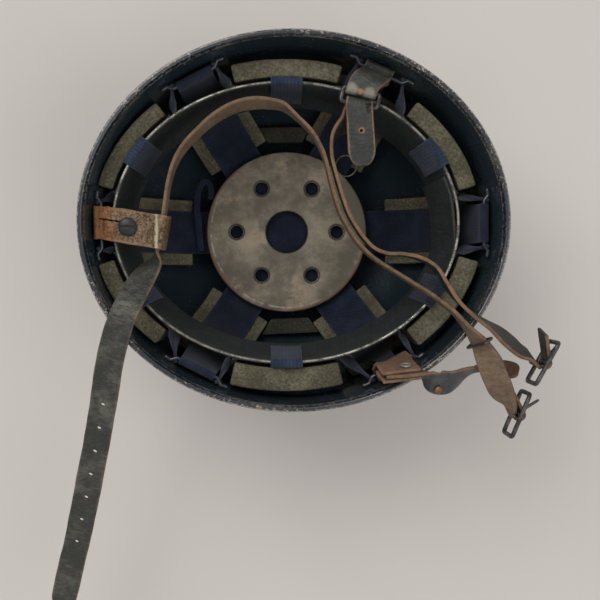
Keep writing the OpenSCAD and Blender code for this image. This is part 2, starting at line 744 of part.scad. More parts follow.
arc_points = [
    [[-84.5, 13, 148.5], [0, 0, 1], 18], [[-83, 25, 146], [0, 0, 1], 18],
    [[-79.5, 38, 144], [-0.03, 0.03, 1], 18], [[-72.5, 50, 144.5], [-0.07, 0.065, 0.99], 18],
    [[-60.5, 62, 147], [-0.08, 0.1, 0.99], 18], [[-49.5, 70, 150], [-0.07, 0.17, 0.98], 18],
    [[-38, 75.5, 152], [-0.05, 0.22, 0.97], 18], [[-27, 78, 151], [0, 0.24, 0.97], 18],
    [[-16, 78, 148], [0.04, 0.18, 0.98], 18], [[-6, 76, 144], [0.04, 0.08, 0.99], 18],
    [[3, 68.8, 143], [0, 0, 1], 18], [[10.5, 61.5, 142.5], [0, 0, 1], 18],
    [[16, 53.5, 142], [0, 0, 1], 18], [[20, 44.5, 141.5], [0, 0, 1], 18],
    [[22.6, 35, 141], [0, 0, 1], 18], [[25, 25, 141], [0, 0, 1], 18],
    [[27.6, 15.5, 141], [0, 0, 1], 18], [[31, 6, 141], [0, 0, 1], 18],
    [[35.8, -3, 141], [0, 0, 1], 18], [[42, -12.5, 141.5], [0, 0, 1], 18],
    [[49, -20, 142.5], [0, 0, 1], 18], [[56.5, -26, 144], [0, 0, 1], 18],
    [[65.5, -32, 147], [0, 0, 1], 18], [[76, -39, 152.5], [0, 0, 1], 18],
    [[90, -49, 165], [0, 0, 1], 18],
    [[101, -58.5, 174], [0, 0, 1], 18], [[109, -68, 178], [0.1, 0, 0.97], 18],
    [[115, -75, 178.5], [0.3, 0.1, 0.93], 18], [[119.5, -81.5, 178], [0.48, 0.2, 0.86], 18],
    [[124, -90, 176], [0.7, 0.3, 0.6], 18], [[128, -99, 172.5], [0.75, 0.3, 0.55], 18],
    [[132.5, -107.5, 167], [0.7, 0.28, 0.62], 18], [[137, -115.5, 161.5], [0.5, 0.2, 0.82], 18]
];
function strap_rows(list) = [
    for (q = list) row(fitted(q[0]), q[1], q[2] * strap_width / 18)
];

// Fold round the upright middle bar of a buckle at c, with headings in degrees:
// the strap comes in with heading h0 and leaves with heading h1, turning to the left
function bar_fold(c, h0, h1, sense, steps) = [
    for (i = [0 : steps])
        let (a = h0 - 90 + (h1 - h0) * i / steps)
        row(c + strap_wrap_r * [cos(a), sin(a), 0], [0, 0, sense], strap_width)
];
function straight_on(c, h, a, reach, sense, rise) =
    row(c + strap_wrap_r * [cos(a), sin(a), 0] + reach * [cos(h), sin(h), 0] + [0, 0, rise],
        [0, 0, sense], strap_width);

chin_bar = fitted([146.5, -126, 156]);
chin_in = -63;
chin_out = 117;
chin_heading = 67;
chin_prong_heading = 31.5;
chin_rows = concat(
    curve(concat(strap_rows(tail_points), strap_rows(arc_points),
        [straight_on(chin_bar, chin_in, chin_in - 90, -5, 1, 1.2)]), 2),
    bar_fold(chin_bar, chin_in, chin_out, 1, 8),
    [straight_on(chin_bar, chin_out, chin_out - 90, 8, 1, 0),
        straight_on(chin_bar, chin_out, chin_out - 90, 15, 1, 0)]
);

// Distance along a strap at each row, and the place at a distance
function lengths(rows) = [
    for (i = 0, s = 0; i < len(rows);
        s = s + (i + 1 < len(rows) ? norm(head(rows[i + 1]) - head(rows[i])) : 0), i = i + 1) s
];
function place_on(rows, s) =
    let (t = lengths(rows))
    [for (j = [0 : 2]) lookup(s, [for (i = [0 : len(rows) - 1]) [t[i], rows[i][j]]])];
module punched(rows, first, count) {
    for (i = [0 : count - 1]) {
        s = first + i * hole_spacing;
        p = place_on(rows, s);
        t = unit(place_on(rows, s + 2) - place_on(rows, s - 2));
        e = unit([0.96, -0.28, 0] - t * ([0.96, -0.28, 0] * t));
        along(p, cross(t, e))
            translate([0, 0, -strap_thickness])
                cylinder(h = 2 * strap_thickness, d = hole_diameter, $fn = 12);
    }
}

// Slot for the prong, at the fold round a buckle's middle bar
module prong_slot(c, heading) {
    translate(c)
        rotate([0, 0, heading])
            translate([-7, -7, -2.4])
                cube([17, 14, 4.8]);
}
module chin_strap() {
    color(dark_leather)
        resize([0, 0, 0]) difference() {
            ribbon(chin_rows, strap_thickness);
            punched(chin_rows, 60, tail_holes);
            prong_slot(chin_bar, chin_heading);
        }
}

// Wire frame with a middle bar, standing upright on its long side
module buckle_frame(c, heading) {
    x = buckle_length / 2 - buckle_r;
    z = buckle_room / 2 + buckle_r;
    translate(c)
        rotate([0, 0, heading]) {
            bent_rod([[0, 0, -z], [x, 0, -z], [x, 0, z], [-x, 0, z], [-x, 0, -z], [0, 0, -z]], buckle_r);
            rod([0, 0, -z], [0, 0, z], buckle_r);
        }
}
// Prong with its eye round the middle bar
prong_wire = 2.4;
module buckle_prong(c, heading) {
    eye = buckle_r + 0.25;
    translate(c)
        rotate([0, 0, heading])
            difference() {
                union() {
                    translate([0, 0, -1.6])
                        cylinder(h = 3.2, r = eye + 1.4);
                    rod([eye + 0.8, 0, 0], [buckle_length / 2 + 0.8, 0, 0], prong_wire / 2);
                    translate([buckle_length / 2 + 0.8, 0, 0])
                        sphere(r = prong_wire / 2);
                }
                translate([0, 0, -3])
                    cylinder(h = 6, r = eye);
            }
}
module chin_buckle() {
    color(dark_metal)
        buckle_frame(chin_bar, chin_heading);
}
module chin_prong() {
    color(dark_metal)
        buckle_prong(chin_bar, chin_prong_heading);
}

// Wire keeper that holds the two layers of the chin strap together
keeper_wire = 2;
module chin_keeper() {
    rows = strap_rows(arc_points);
    i = 27;
    p = (head(rows[i]) + head(rows[i + 1])) / 2;
    t = unit(head(rows[i + 1]) - head(rows[i]));
    w = unit(width_at(rows, i) + width_at(rows, i + 1));
    f = cross(t, w);
    a = strap_width / 2 + 0.7 + keeper_wire / 2;
    b = strap_thickness / 2 + 0.8 + keeper_wire / 2;
    corners = [p + a * w + b * f, p - a * w + b * f, p - a * w - b * f, p + a * w - b * f];
    color(dark_metal)
        bent_rod([(corners[3] + corners[0]) / 2, corners[0], corners[1], corners[2], corners[3],
            (corners[3] + corners[0]) / 2], keeper_wire / 2);
}

// Right side: hanger, adjuster and temple strap
adjuster = fitted([42.9, 80.9, 156]);
adjuster_run = unit([-0.22, -0.97, 0]);
adjuster_side = [0.975, -0.222, 0];
adjuster_gap = 9.4;
hanger_bar = adjuster - adjuster_run * adjuster_gap / 2;
strap_bar = adjuster + adjuster_run * adjuster_gap / 2;
hanger_r = buckle_r + gap + 0.1 + loop_leather / 2;
hanger_width = 20;
function loop_rows(c, e, r, a0, a1, steps, s, w) = [
    for (i = [0 : steps])
        let (a = a0 + (a1 - a0) * i / steps)
        row(c + r * (cos(a) * e + [0, 0, sin(a)]), s, w)
];
// Place between a bracket's bar and the adjuster: share f of the way, height w over the bar
hanger_v = 2;
function between(f, w) =
    let (a = from_bar(1, [0, hanger_v, 0]), b = a - 8 * out_at(bracket_angles[1]),
        c = hanger_bar - 9 * adjuster_run, g = 1 - f,
        p = g * g * g * a + 3 * g * g * f * b + 3 * g * f * f * c + f * f * f * hanger_bar)
    [p[0], p[1], bar_z + w];
function hanger_row(f, w) =
    row(between(f, w), unit(mix(-along_at(bracket_angles[1]), adjuster_side, f)), hanger_width);
module right_hanger() {
    start = [hanger_row(0.62, 8.9), hanger_row(0.5, 6.6), hanger_row(0.36, 3.4)];
    fold = [for (r = bar_wrap(1, leather_wrap_r, -10, -265, hanger_v, hanger_width, 10))
        row(head(r), -side(r), hanger_width)];
    top = [hanger_row(0.1, 7.4), hanger_row(0.3, 12.2), hanger_row(0.6, 16), hanger_row(0.85, 17)];
    back = loop_rows(hanger_bar, adjuster_run, hanger_r, 90, -90, 8, adjuster_side, hanger_width);
    low = [hanger_row(0.84, 11), hanger_row(0.7, 9.9)];
    color(dark_leather)
        resize([0, 0, 0]) difference() {
            ribbon(concat(start, fold, curve(concat(top, [back[0]]), 2),
                [for (i = [1 : 8]) back[i]], low), loop_leather);
            at_bar(1)
                strap_window(3.6);
        }
}
module strap_adjuster() {
    x = buckle_room / 2 + buckle_r;
    y = adjuster_gap / 2;
    color(dark_metal)
        translate(adjuster)
            rotate([90, 0, atan2(adjuster_side[1], adjuster_side[0])])
                wire_loop([[x, 0, y], [x, 0, -y], [-x, 0, -y], [-x, 0, y]], buckle_r);
}

tip_points = [
    [[44.3, 36, 157.5], adjuster_side, 6], [[44.2, 38.5, 157.8], adjuster_side, 12],
    [[44, 42, 158.2], adjuster_side, 16], [[43.8, 47, 158.6], adjuster_side, 18],
    [[43.2, 56, 159], adjuster_side, 18], [[42.6, 66, 159.2], adjuster_side, 18]
];
right_points = [
    [[41, 72, 152.6], adjuster_side, 18], [[37.5, 67.5, 150.3], [0.87, -0.1, -0.5], 18],
    [[32, 63, 147.3], [0.6, 0, -0.8], 18], [[27, 57.5, 145], [0.2, 0, -0.98], 18],
    [[24.6, 50.5, 143.5], [0, 0, -1], 18], [[24.9, 43, 142.5], [0, 0, -1], 18],
    [[26.9, 35, 142], [0, 0, -1], 18], [[29.7, 25, 142], [0, 0, -1], 18],
    [[32.7, 15.5, 142], [0, 0, -1], 18], [[36, 6.5, 142], [0, 0, -1], 18],
    [[41, -2.5, 142.5], [0, 0, -1], 18], [[47, -11, 143], [0, 0, -1], 18],
    [[53.5, -17.3, 144.5], [0, 0, -1], 18], [[62, -20.5, 147.5], [0, 0, -1], 18],
    [[72.5, -21.4, 152], [0, 0, -1], 18], [[83, -24.5, 157.5], [0, 0, -1], 18],
    [[91.5, -31, 164], [0, 0, -1], 18], [[97.5, -41.5, 171], [0, 0, -1], 18],
    [[104, -51.5, 176.5], [0.05, 0.05, -1], 18], [[113.5, -60.5, 179], [0.1, 0.1, -0.98], 18],
    [[123, -67, 179], [0.15, 0.2, -0.95], 18], [[132.5, -74, 177], [0.3, 0.35, -0.87], 18],
    [[143, -82, 173.5], [0.3, 0.35, -0.87], 18], [[151, -86.5, 170], [0.15, 0.2, -0.95], 18]
];
side_bar = fitted([161, -91.5, 166]);
side_in = -24;
side_out = 101.5;
side_heading = 61;
side_prong_heading = 49;
right_rows = concat(
    curve(strap_rows(tip_points), 2),
    [for (r = loop_rows(strap_bar, -adjuster_run, strap_wrap_r, 90, -90, 6, adjuster_side, strap_width)) r],
    curve(concat(strap_rows(right_points),
        [straight_on(side_bar, side_in, side_in - 90, -4, -1, 0.6)]), 2),
    bar_fold(side_bar, side_in, side_out, -1, 6),
    [straight_on(side_bar, side_out, side_out - 90, 7, -1, 1),
        straight_on(side_bar, side_out, side_out - 90, 14, -1, 2.4),
        straight_on(side_bar, side_out, side_out - 90, 20, -1, 4)]
);
module right_strap() {
    color(dark_leather)
        resize([0, 0, 0]) difference() {
            ribbon(right_rows, strap_thickness);
            translate(fitted([43.4, 59, 150]))
                cylinder(h = 14, d = hole_diameter, $fn = 12);
            prong_slot(side_bar, side_heading);
        }
}
// Wire ring lying on a crown strap, seen beside the temple strap
ring_radius = 8;
module crown_ring() {
    rows = half_strap(1, 1);
    w = width_at(rows, 7);
    t = run_at(rows, 7);
    f = cross(t, w)[2] > 0 ? cross(t, w) : -cross(t, w);
    out = w[0] > 0 ? w : -w;
    c = head(rows[7]) + 12.6 * out + (crown_strap_thickness / 2 + 1.7) * f;
    color(steel)
        ring_tube([for (i = [0 : 19])
            c + ring_radius * (cos(18 * i) * t + sin(18 * i) * w)], 0.7, 6);
}
module side_buckle() {
    color(dark_metal)
        buckle_frame(side_bar, side_heading);
}
module side_prong() {
    color(dark_metal)
        buckle_prong(side_bar, side_prong_heading);
}

// Left side: a tab over the bar whose two layers hold the temple strap on a screw post.
// Above the rim the tab leans out and has turned in plan
left_tab_v = 0;
left_tab_width = 25;
post_v = 4.5;
post_w = 34;
left_turn = -24;
function left_mid(w) = lookup(w, [[0, 0], [10, -1], [18, -2.2], [24, -2], [42, 3.4]]);
function left_half(w) = lookup(w, [[0, leather_wrap_r], [8, 4.1], [16, 3.4], [22, 2.65], [42, 2.65]]);
function left_angle(w) =
    atan2(along_at(bracket_angles[5])[1], along_at(bracket_angles[5])[0])
        + lookup(w, [[8, 0], [16, left_turn * 0.45], [24, left_turn], [42, left_turn]]);
function left_side(w) = [cos(left_angle(w)), sin(left_angle(w)), 0];
function left_out(w) = [sin(left_angle(w)), -cos(left_angle(w)), 0];
function left_place(w, v, d) =
    from_bar(5, [-left_mid(w), left_tab_v, w]) + v * left_side(w) + d * left_out(w);
lean = 0.3;
left_face = unit(left_out(post_w) - [0, 0, lean * left_out(post_w) * out_at(bracket_angles[5])]);
left_up = unit([0, 0, 1] + lean * out_at(bracket_angles[5]));
module left_tab() {
    layer_rows = function(list, d) [for (w = list) row(left_place(w, 0, d * left_half(w)), left_side(w), left_tab_width)];
    color(tan_leather)
        resize([0, 0, 0]) difference() {
            ribbon(concat(
                layer_rows([42, 38, 34, 30, 27, 24, 21, 18, 14, 10, 6, 3], -1),
                bar_wrap(5, leather_wrap_r, 0, -180, left_tab_v, left_tab_width, 8),
                layer_rows([3, 6, 10, 14, 18, 21, 24, 27, 30, 34, 38, 42], 1)
            ), loop_leather);
            at_bar(5)
                strap_window(6);
            left_post_hole();
        }
}
module left_post_hole() {
    along(left_place(post_w, post_v, 0) - 20 * left_face, left_face)
        cylinder(h = 40, d = post_shank + 0.6, $fn = 16);
}
post_shank = 4;
post_half = strap_thickness / 2 + gap + loop_leather + 0.6;
module left_screw_post() {
    c = left_place(post_w, post_v, 0);
    n = left_face;
    color(steel) {
        along(c - (post_half + 1.2) * n, n)
            cylinder(h = 1.4, d = 7.5);
        along(c - post_half * n, n)
            cylinder(h = 2 * post_half, d = post_shank);
        along(c + (post_half - 0.2) * n, n)
            cylinder(h = 1.4, d = 7.5);
    }
}
left_start = [for (v = [-9, -3, 3, 8.5, 14]) row(left_place(post_w, v, 0), left_up, strap_width)];
left_points = [
    [[84.8, -98.8, 175.4], [0.1, 0.4, 0.9], 18], [[90, -103, 175], [0.1, 0.85, 0.5], 18], [[99, -104, 172], [0.1, 0.85, 0.5], 18],
    [[108, -101.5, 164.5], [0, 0.6, 0.8], 18], [[117, -98.5, 156.5], [0, 0.15, 0.98], 18],
    [[126, -97, 152.5], [0, -0.25, 0.96], 18], [[135, -97, 153], [0.05, -0.5, 0.86], 18],
    [[141, -97.5, 155], [0.05, -0.6, 0.8], 16], [[145.5, -98, 157], [0.05, -0.6, 0.8], 12],
    [[147.5, -98.2, 157.8], [0.05, -0.6, 0.8], 7]
];
left_rows = concat(left_start, curve(strap_rows(left_points), 3));
rivet_row = 9;
module rivet_core(d, h) {
    p = head(left_rows[rivet_row]) - 4.5 * width_at(left_rows, rivet_row);
    along(p - face_at(left_rows, rivet_row) * h / 2, face_at(left_rows, rivet_row))
        cylinder(h = h, d = d);
}
module left_strap() {
    color(dark_leather)
        resize([0, 0, 0]) difference() {
            ribbon(left_rows, strap_thickness);
            left_post_hole();
            rivet_core(2.6, 12);
        }
}
module left_rivet() {
    h = strap_thickness + 1.4;
    p = head(left_rows[rivet_row]) - 4.5 * width_at(left_rows, rivet_row);
    f = face_at(left_rows, rivet_row);
    color(tan_leather) {
        rivet_core(2.2, h + 1);
        along(p + f * h / 2, f)
            cylinder(h = 1, d = 5.4);
        along(p - f * h / 2, -f)
            cylinder(h = 1, d = 5.4);
    }
}

shell();
rim_edging();
bracket(0);  // bracket_front
bracket(1);  // bracket_front_right
bracket(2);  // bracket_rear_right
bracket(3);  // bracket_nape
bracket(4);  // bracket_rear_left
bracket(5);  // bracket_front_left
rim_pad(0);  // rim_pad_front_right
rim_pad(1);  // rim_pad_right
rim_pad(2);  // rim_pad_rear_right
rim_pad(3);  // rim_pad_rear_left
rim_pad(4);  // rim_pad_left
rim_pad(5);  // rim_pad_front_left
headband();
headband_wire();
sling(0);  // sling_front_right
sling(1);  // sling_right
sling(2);  // sling_rear_right
sling(3);  // sling_rear_left
sling(4);  // sling_left
sling(5);  // sling_front_left
band_loop(0);  // loop_front_right
band_loop(1);  // loop_right
band_loop(2);  // loop_rear_right
band_loop(3);  // loop_rear_left
band_loop(4);  // loop_left
band_loop(5);  // loop_front_left
crown_strap(0);  // crown_strap_lengthwise
crown_strap(1);  // crown_strap_lower
crown_strap(2);  // crown_strap_upper
strap_pad(0);  // strap_pad_front
strap_pad(1);  // strap_pad_front_right
strap_pad(2);  // strap_pad_rear_right
strap_pad(3);  // strap_pad_nape
strap_pad(4);  // strap_pad_rear_left
strap_pad(5);  // strap_pad_front_left
bridge_pad(1, 1);  // bridge_pad_right
bridge_pad(4, -1);  // bridge_pad_left
disc_backing();
disc_facing();
pull_loop();
nape_tab();
nape_stud();
chin_strap();
chin_keeper();
chin_buckle();
chin_prong();
right_hanger();
strap_adjuster();
right_strap();
crown_ring();
side_buckle();
side_prong();
left_tab();
left_screw_post();
left_strap();
left_rivet();
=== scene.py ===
"""Dresses the service helmet: enamelled shell, webbing liner, foam pads and leather harness.

All lengths are millimetres in the part's own frame: the crown's lowest point is the origin, +X points to
the forehead and +Z out of the opening. Meshes are written in metres.
"""

from __future__ import annotations

import json
import logging
from collections.abc import Callable, Sequence
from dataclasses import dataclass
from enum import Enum
from functools import partial

import bpy
import numpy as np
from mathutils import Euler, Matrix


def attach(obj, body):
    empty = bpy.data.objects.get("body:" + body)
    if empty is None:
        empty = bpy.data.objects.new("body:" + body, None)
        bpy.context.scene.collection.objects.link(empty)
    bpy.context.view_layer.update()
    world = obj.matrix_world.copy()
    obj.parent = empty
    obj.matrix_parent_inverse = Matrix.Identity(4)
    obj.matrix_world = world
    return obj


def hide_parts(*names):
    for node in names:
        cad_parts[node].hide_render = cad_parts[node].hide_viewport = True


log = logging.getLogger("helmet")
METRE = 0.001
UP = np.array([0.0, 0.0, 1.0])
Array = np.ndarray
Number = float | np.ndarray
Piece = bpy.types.Object
Triple = tuple[float, float, float]
Place = Sequence[float] | Array
Colour = Triple
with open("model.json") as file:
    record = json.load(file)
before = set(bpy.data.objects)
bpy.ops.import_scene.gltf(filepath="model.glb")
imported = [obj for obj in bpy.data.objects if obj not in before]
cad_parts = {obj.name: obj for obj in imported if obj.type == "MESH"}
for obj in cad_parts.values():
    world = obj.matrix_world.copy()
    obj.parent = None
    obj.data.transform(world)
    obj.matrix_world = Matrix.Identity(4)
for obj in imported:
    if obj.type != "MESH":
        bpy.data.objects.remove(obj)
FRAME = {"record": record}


# ---------------------------------------------------------------- vectors and curves


def unit(v: Place) -> Array:
    """Vectors over their own lengths, along the last axis."""
    a = np.asarray(v, float)
    return a / np.maximum(np.linalg.norm(a, axis=-1, keepdims=True), 1e-12)


def square_to(v: Array, run: Array) -> Array:
    """Vectors without their part along the unit vectors of a run, made unit vectors."""
    return unit(v - run * np.sum(v * run, axis=-1, keepdims=True))


def mix(a: Array, b: Array, t: Number) -> Array:
    """Straight blend: a at 0, b at 1."""
    return np.asarray(a, float) * (1 - t) + np.asarray(b, float) * t


def heading(degrees: float) -> Array:
    """Level unit vector at an angle from +X."""
    h = np.radians(degrees)
    return np.array([np.cos(h), np.sin(h), 0])


def steps_of(p: Array) -> Array:
    """At each point of a route, the way from the point before it to the point after it."""
    n = np.arange(len(p))
    return p[np.minimum(n + 1, len(p) - 1)] - p[np.maximum(n - 1, 0)]


def length_of(rows: Array) -> Array:
    """Distance along a strap at each of its rows."""
    return np.concatenate([[0], np.cumsum(np.linalg.norm(np.diff(rows[:, :3], axis=0), axis=1))])


def ring_of(axis: Array, sides: int) -> tuple[Array, Array]:
    """A unit axis and the points of a unit circle round it: cos(t) e + sin(t) (a x e).

    Args:
        axis: The axis, of any length.
        sides: How many points the circle has.

    Returns:
        The unit axis and the points.
    """
    a = unit(axis)
    e = unit(np.cross(a, [0.3, 0.5, 0.81]))
    t = np.linspace(0, 2 * np.pi, sides, endpoint=False)[:, None]
    return a, np.cos(t) * e + np.sin(t) * np.cross(a, e)


def row(place: Place, side: Place, width: float) -> Array:
    """One station of a strap as seven numbers: its place, width direction and width."""
    return np.concatenate([place, side, [width]]).astype(float)


def rows_of(place: Array, side: Place, width: Number) -> Array:
    """Stations of a strap from their places, with one or many width directions and widths."""
    wide = np.broadcast_to(np.asarray(width, float), (len(place),))[:, None]
    return np.concatenate([place, np.broadcast_to(side, place.shape), wide], axis=1)


def route(rows: Sequence[Array] | Array, steps: int) -> Array:
    """Catmull-Rom curve through rows of numbers.

    Between rows b and c the point is half of 2b + (c-a)t + (2a-5b+4c-d)t^2 + (3b-3c+d-a)t^3.

    Args:
        rows: The rows to pass through.
        steps: How many steps go from each row to the next.

    Returns:
        The dense rows, with the last row kept.
    """
    p = np.asarray(rows, float)
    n = np.arange(len(p) - 1)
    t = (np.arange(steps) / steps)[None, :, None]
    a, b, c, d = (q[:, None, :] for q in (p[np.maximum(n - 1, 0)], p[:-1], p[1:], p[np.minimum(n + 2, len(p) - 1)]))
    out = 0.5 * (2 * b + (c - a) * t + (2 * a - 5 * b + 4 * c - d) * t**2 + (3 * b - 3 * c + d - a) * t**3)
    return np.vstack([out.reshape(-1, p.shape[1]), p[-1:]])


def wobble(x: Array, seed: float, size: float) -> Array:
    """Slow uneven wave: the sum of three sines of unrelated lengths, scaled to size.

    Args:
        x: Where, in millimetres.
        seed: Which of the uneven waves.
        size: How far it swings.

    Returns:
        The offset at each x.
    """
    waves = np.sin(x * 0.071 + seed) + 0.6 * np.sin(x * 0.173 + 2.3 * seed) + 0.4 * np.sin(x * 0.39 + 5.1 * seed)
    return size * waves / 2


# ---------------------------------------------------------------- shared forms, as in the part's source


@dataclass(frozen=True)
class ShellForm:
    """The pressed shell's surface and the places of the brackets on its wall."""

    length: float = 278.0
    width: float = 245.0
    depth: float = 165.0
    thickness: float = 1.2
    brim: float = 50.0
    front_flare: float = 7.0
    nape_flare: float = 6.0
    side_flare: float = 5.0
    dome_power: float = 2.3
    bar_depth: float = 23.0
    bar_offset: float = 6.3
    bar_length: float = 28.0
    wire: float = 1.5
    foot: float = 5.0
    angles: tuple[float, ...] = (0, 63, 121, 181, 240, 301)

    @property
    def wall_a(self) -> float:
        """Half length of the upright wall."""
        return (self.length - self.front_flare - self.nape_flare) / 2

    @property
    def wall_b(self) -> float:
        """Half width of the upright wall."""
        return self.width / 2 - self.side_flare

    @property
    def wall_x(self) -> float:
        """Middle of the wall's length."""
        return (self.nape_flare - self.front_flare) / 2

    @property
    def waist(self) -> float:
        """Height at which the dome meets the flared wall."""
        return self.depth - self.brim

    @property
    def bar_z(self) -> float:
        """Height of the bracket bars."""
        return self.depth - self.bar_depth

    def flare(self, z: Number) -> Array:
        """Share of the full flare at height z: ((z - waist) / brim)^1.5."""
        return (np.maximum(np.asarray(z, float) - self.waist, 0) / self.brim) ** 1.5

    def point(self, t: Number, share: Number, z: Number, skin: float) -> Array:
        """Points of the shell, half axis times share plus flare, along cos and sin.

        Args:
            t: Angle in degrees.
            share: Share of the half axes.
            z: Height.
            skin: Depth under the outer skin.

        Returns:
            The points, along the last axis.
        """
        c, s = np.cos(np.radians(t)), np.sin(np.radians(t))
        f = self.flare(z)
        x = self.wall_x + (self.wall_a - skin) * share * c + f * c * np.where(c > 0, self.front_flare, self.nape_flare)
        y = (self.wall_b - skin) * share * s + f * s * self.side_flare
        return np.stack(np.broadcast_arrays(x, y, np.asarray(z, float)), axis=-1)

    def out(self, t: Number) -> Array:
        """Outward direction of the wall at angle t."""
        c, s = np.cos(np.radians(t)), np.sin(np.radians(t))
        return unit(np.stack([self.wall_b * c, self.wall_a * s, 0 * c], axis=-1))

    def axes(self, k: int) -> tuple[Array, Array]:
        """Directions inwards from bracket k and along its bar."""
        o = self.out(self.angles[k])
        return -o, np.array([-o[1], o[0], 0.0])

    def from_bar(self, k: int, p: Place) -> Array:
        """Point given from the middle of bracket k's bar: inwards, along it and up.

        Args:
            k: Which bracket.
            p: Distances inwards, along the bar and up.

        Returns:
            The point.
        """
        inwards, along = self.axes(k)
        bar = self.point(self.angles[k], 1.0, self.bar_z, self.thickness) + self.bar_offset * inwards
        return bar + p[0] * inwards + p[1] * along + p[2] * UP

    def bar_end(self, k: int, s: int) -> Array:
        """Where a bar's straight part meets its leg, on side s."""
        return self.from_bar(k, (0, s * (self.bar_length / 2 + 1), 0))

    def foot_point(self, k: int, s: int, beyond: float = 0.0) -> Array:
        """Middle of the wire on the wall, where its foot starts on side s or lies beyond.

        Args:
            k: Which bracket.
            s: Which side of it.
            beyond: How much further along the wall.

        Returns:
            The point, which keeps the wire just off the wall.
        """
        c = np.radians(self.angles[k])
        v = s * (self.bar_length / 2 + 5 + beyond)
        t = self.angles[k] + np.degrees(v / np.hypot(self.wall_a * np.sin(c), self.wall_b * np.cos(c)))
        return self.point(t, 1.0, self.bar_z, self.thickness) - (self.wire + 0.3) * self.out(t)

    def kept_in(self, p: Array, clear: float = 0.7) -> Array:
        """Points beyond the inner wall, drawn towards the middle until they are clear of it.

        Args:
            p: The points.
            clear: How far they stay off the wall.

        Returns:
            The points with X and Y divided by how far out they lie, where that is over 1.
        """
        z, x = p[..., 2], p[..., 0] - self.wall_x
        below = np.clip((self.waist - z) / self.waist, 0, 1) ** self.dome_power
        share = np.where(z >= self.waist, 1, (1 - below) ** (1 / self.dome_power))
        f = self.flare(z)
        flare = np.where(x > 0, self.front_flare, self.nape_flare)
        a = (self.wall_a - self.thickness) * share + f * flare - clear
        b = (self.wall_b - self.thickness) * share + f * self.side_flare - clear
        h = np.maximum(np.hypot(x / a, p[..., 1] / b), 1)
        return np.stack([self.wall_x + x / h, p[..., 1] / h, z], axis=-1)


@dataclass(frozen=True)
class BandForm:
    """The headband's oval and the places of the six loops on it."""

    length: float = 228.0
    width: float = 185.0
    height: float = 42.0
    taper: float = 9.0
    thickness: float = 2.0
    middle: float = -5.0
    top: float = 145.0
    piping: float = 2.2
    loops: tuple[float, ...] = (30, 90, 150, 210, 270, 330)
    web: float = 1.0

    @property
    def sling_offset(self) -> float:
        """How far outside the leather the sling runs."""
        return self.thickness / 2 + 0.5 + self.web / 2

    @property
    def piping_z(self) -> float:
        """Height of the stiffening wire."""
        return self.top + self.piping / 2 + 0.1

    def out(self, t: Number) -> Array:
        """Outward direction of the band's oval."""
        c, s = np.cos(np.radians(t)), np.sin(np.radians(t))
        return unit(np.stack([self.width / 2 * c, self.length / 2 * s, 0 * c], axis=-1))

    def at(self, t: Number, out: Number, z: Number) -> Array:
        """Point of the band at angle t, moved outwards, at height z. The oval draws in as z falls.

        Args:
            t: Angle in degrees.
            out: How far outside the middle of the leather.
            z: Height.

        Returns:
            The points, along the last axis.
        """
        t, out, z = np.broadcast_arrays(*(np.asarray(q, float) for q in (t, out, z)))
        draw = self.taper * (self.top - z) / self.height
        c, s = np.cos(np.radians(t)), np.sin(np.radians(t))
        o = self.out(t)
        x = self.middle + (self.length / 2 - draw) * c + out * o[..., 0]
        return np.stack([x, (self.width / 2 - draw) * s + out * o[..., 1], z], axis=-1)


SHELL = ShellForm()
BAND = BandForm()
HUB = np.array([-3.5, -1.6, 34.0])
DISC_R = 60.5
DISC_HOLE_R = 15.5
VENT_R = 38.0
VENT_HOLE_R = 5.0
STRAP = 2.4  # thickness of the strap leather
STRAP_WIDTH = 18.0
TAB = 2.0  # thickness of the tab leather
CROWN = 1.2  # thickness of the crown webbing
WIRE = 1.5  # radius of the buckle wire
PRONG = 0.95  # radius of the prong wire
SLACK = 0.3  # clearance between pieces that lie on one another
WRAP_WEB = SHELL.wire + SLACK + CROWN / 2
WRAP_TAB = SHELL.wire + 2 * SLACK + CROWN + TAB / 2
WRAP_STRAP = WIRE + SLACK + STRAP / 2
BRACKETS = ("front", "front_right", "rear_right", "nape", "rear_left", "front_left")
PADS = ("front_right", "right", "rear_right", "rear_left", "left", "front_left")


def bar_wrap(k: int, r: float, start: float, end: float, v: float, width: float, steps: int) -> Array:
    """Rows of a strap bent round bar k on a circle of radius r, from one angle to another.

    Args:
        k: Which bracket.
        r: Radius of the circle.
        start: First angle in degrees, 0 inwards and 90 up.
        end: Last angle.
        v: Where the strap lies along the bar.
        width: Its width.
        steps: How many steps the bend has.

    Returns:
        The rows.
    """
    a = np.radians(np.linspace(start, end, steps + 1))
    side = SHELL.axes(k)[1]
    return np.array([row(SHELL.from_bar(k, (r * np.cos(x), v, r * np.sin(x))), side, width) for x in a])


# ---------------------------------------------------------------- meshes


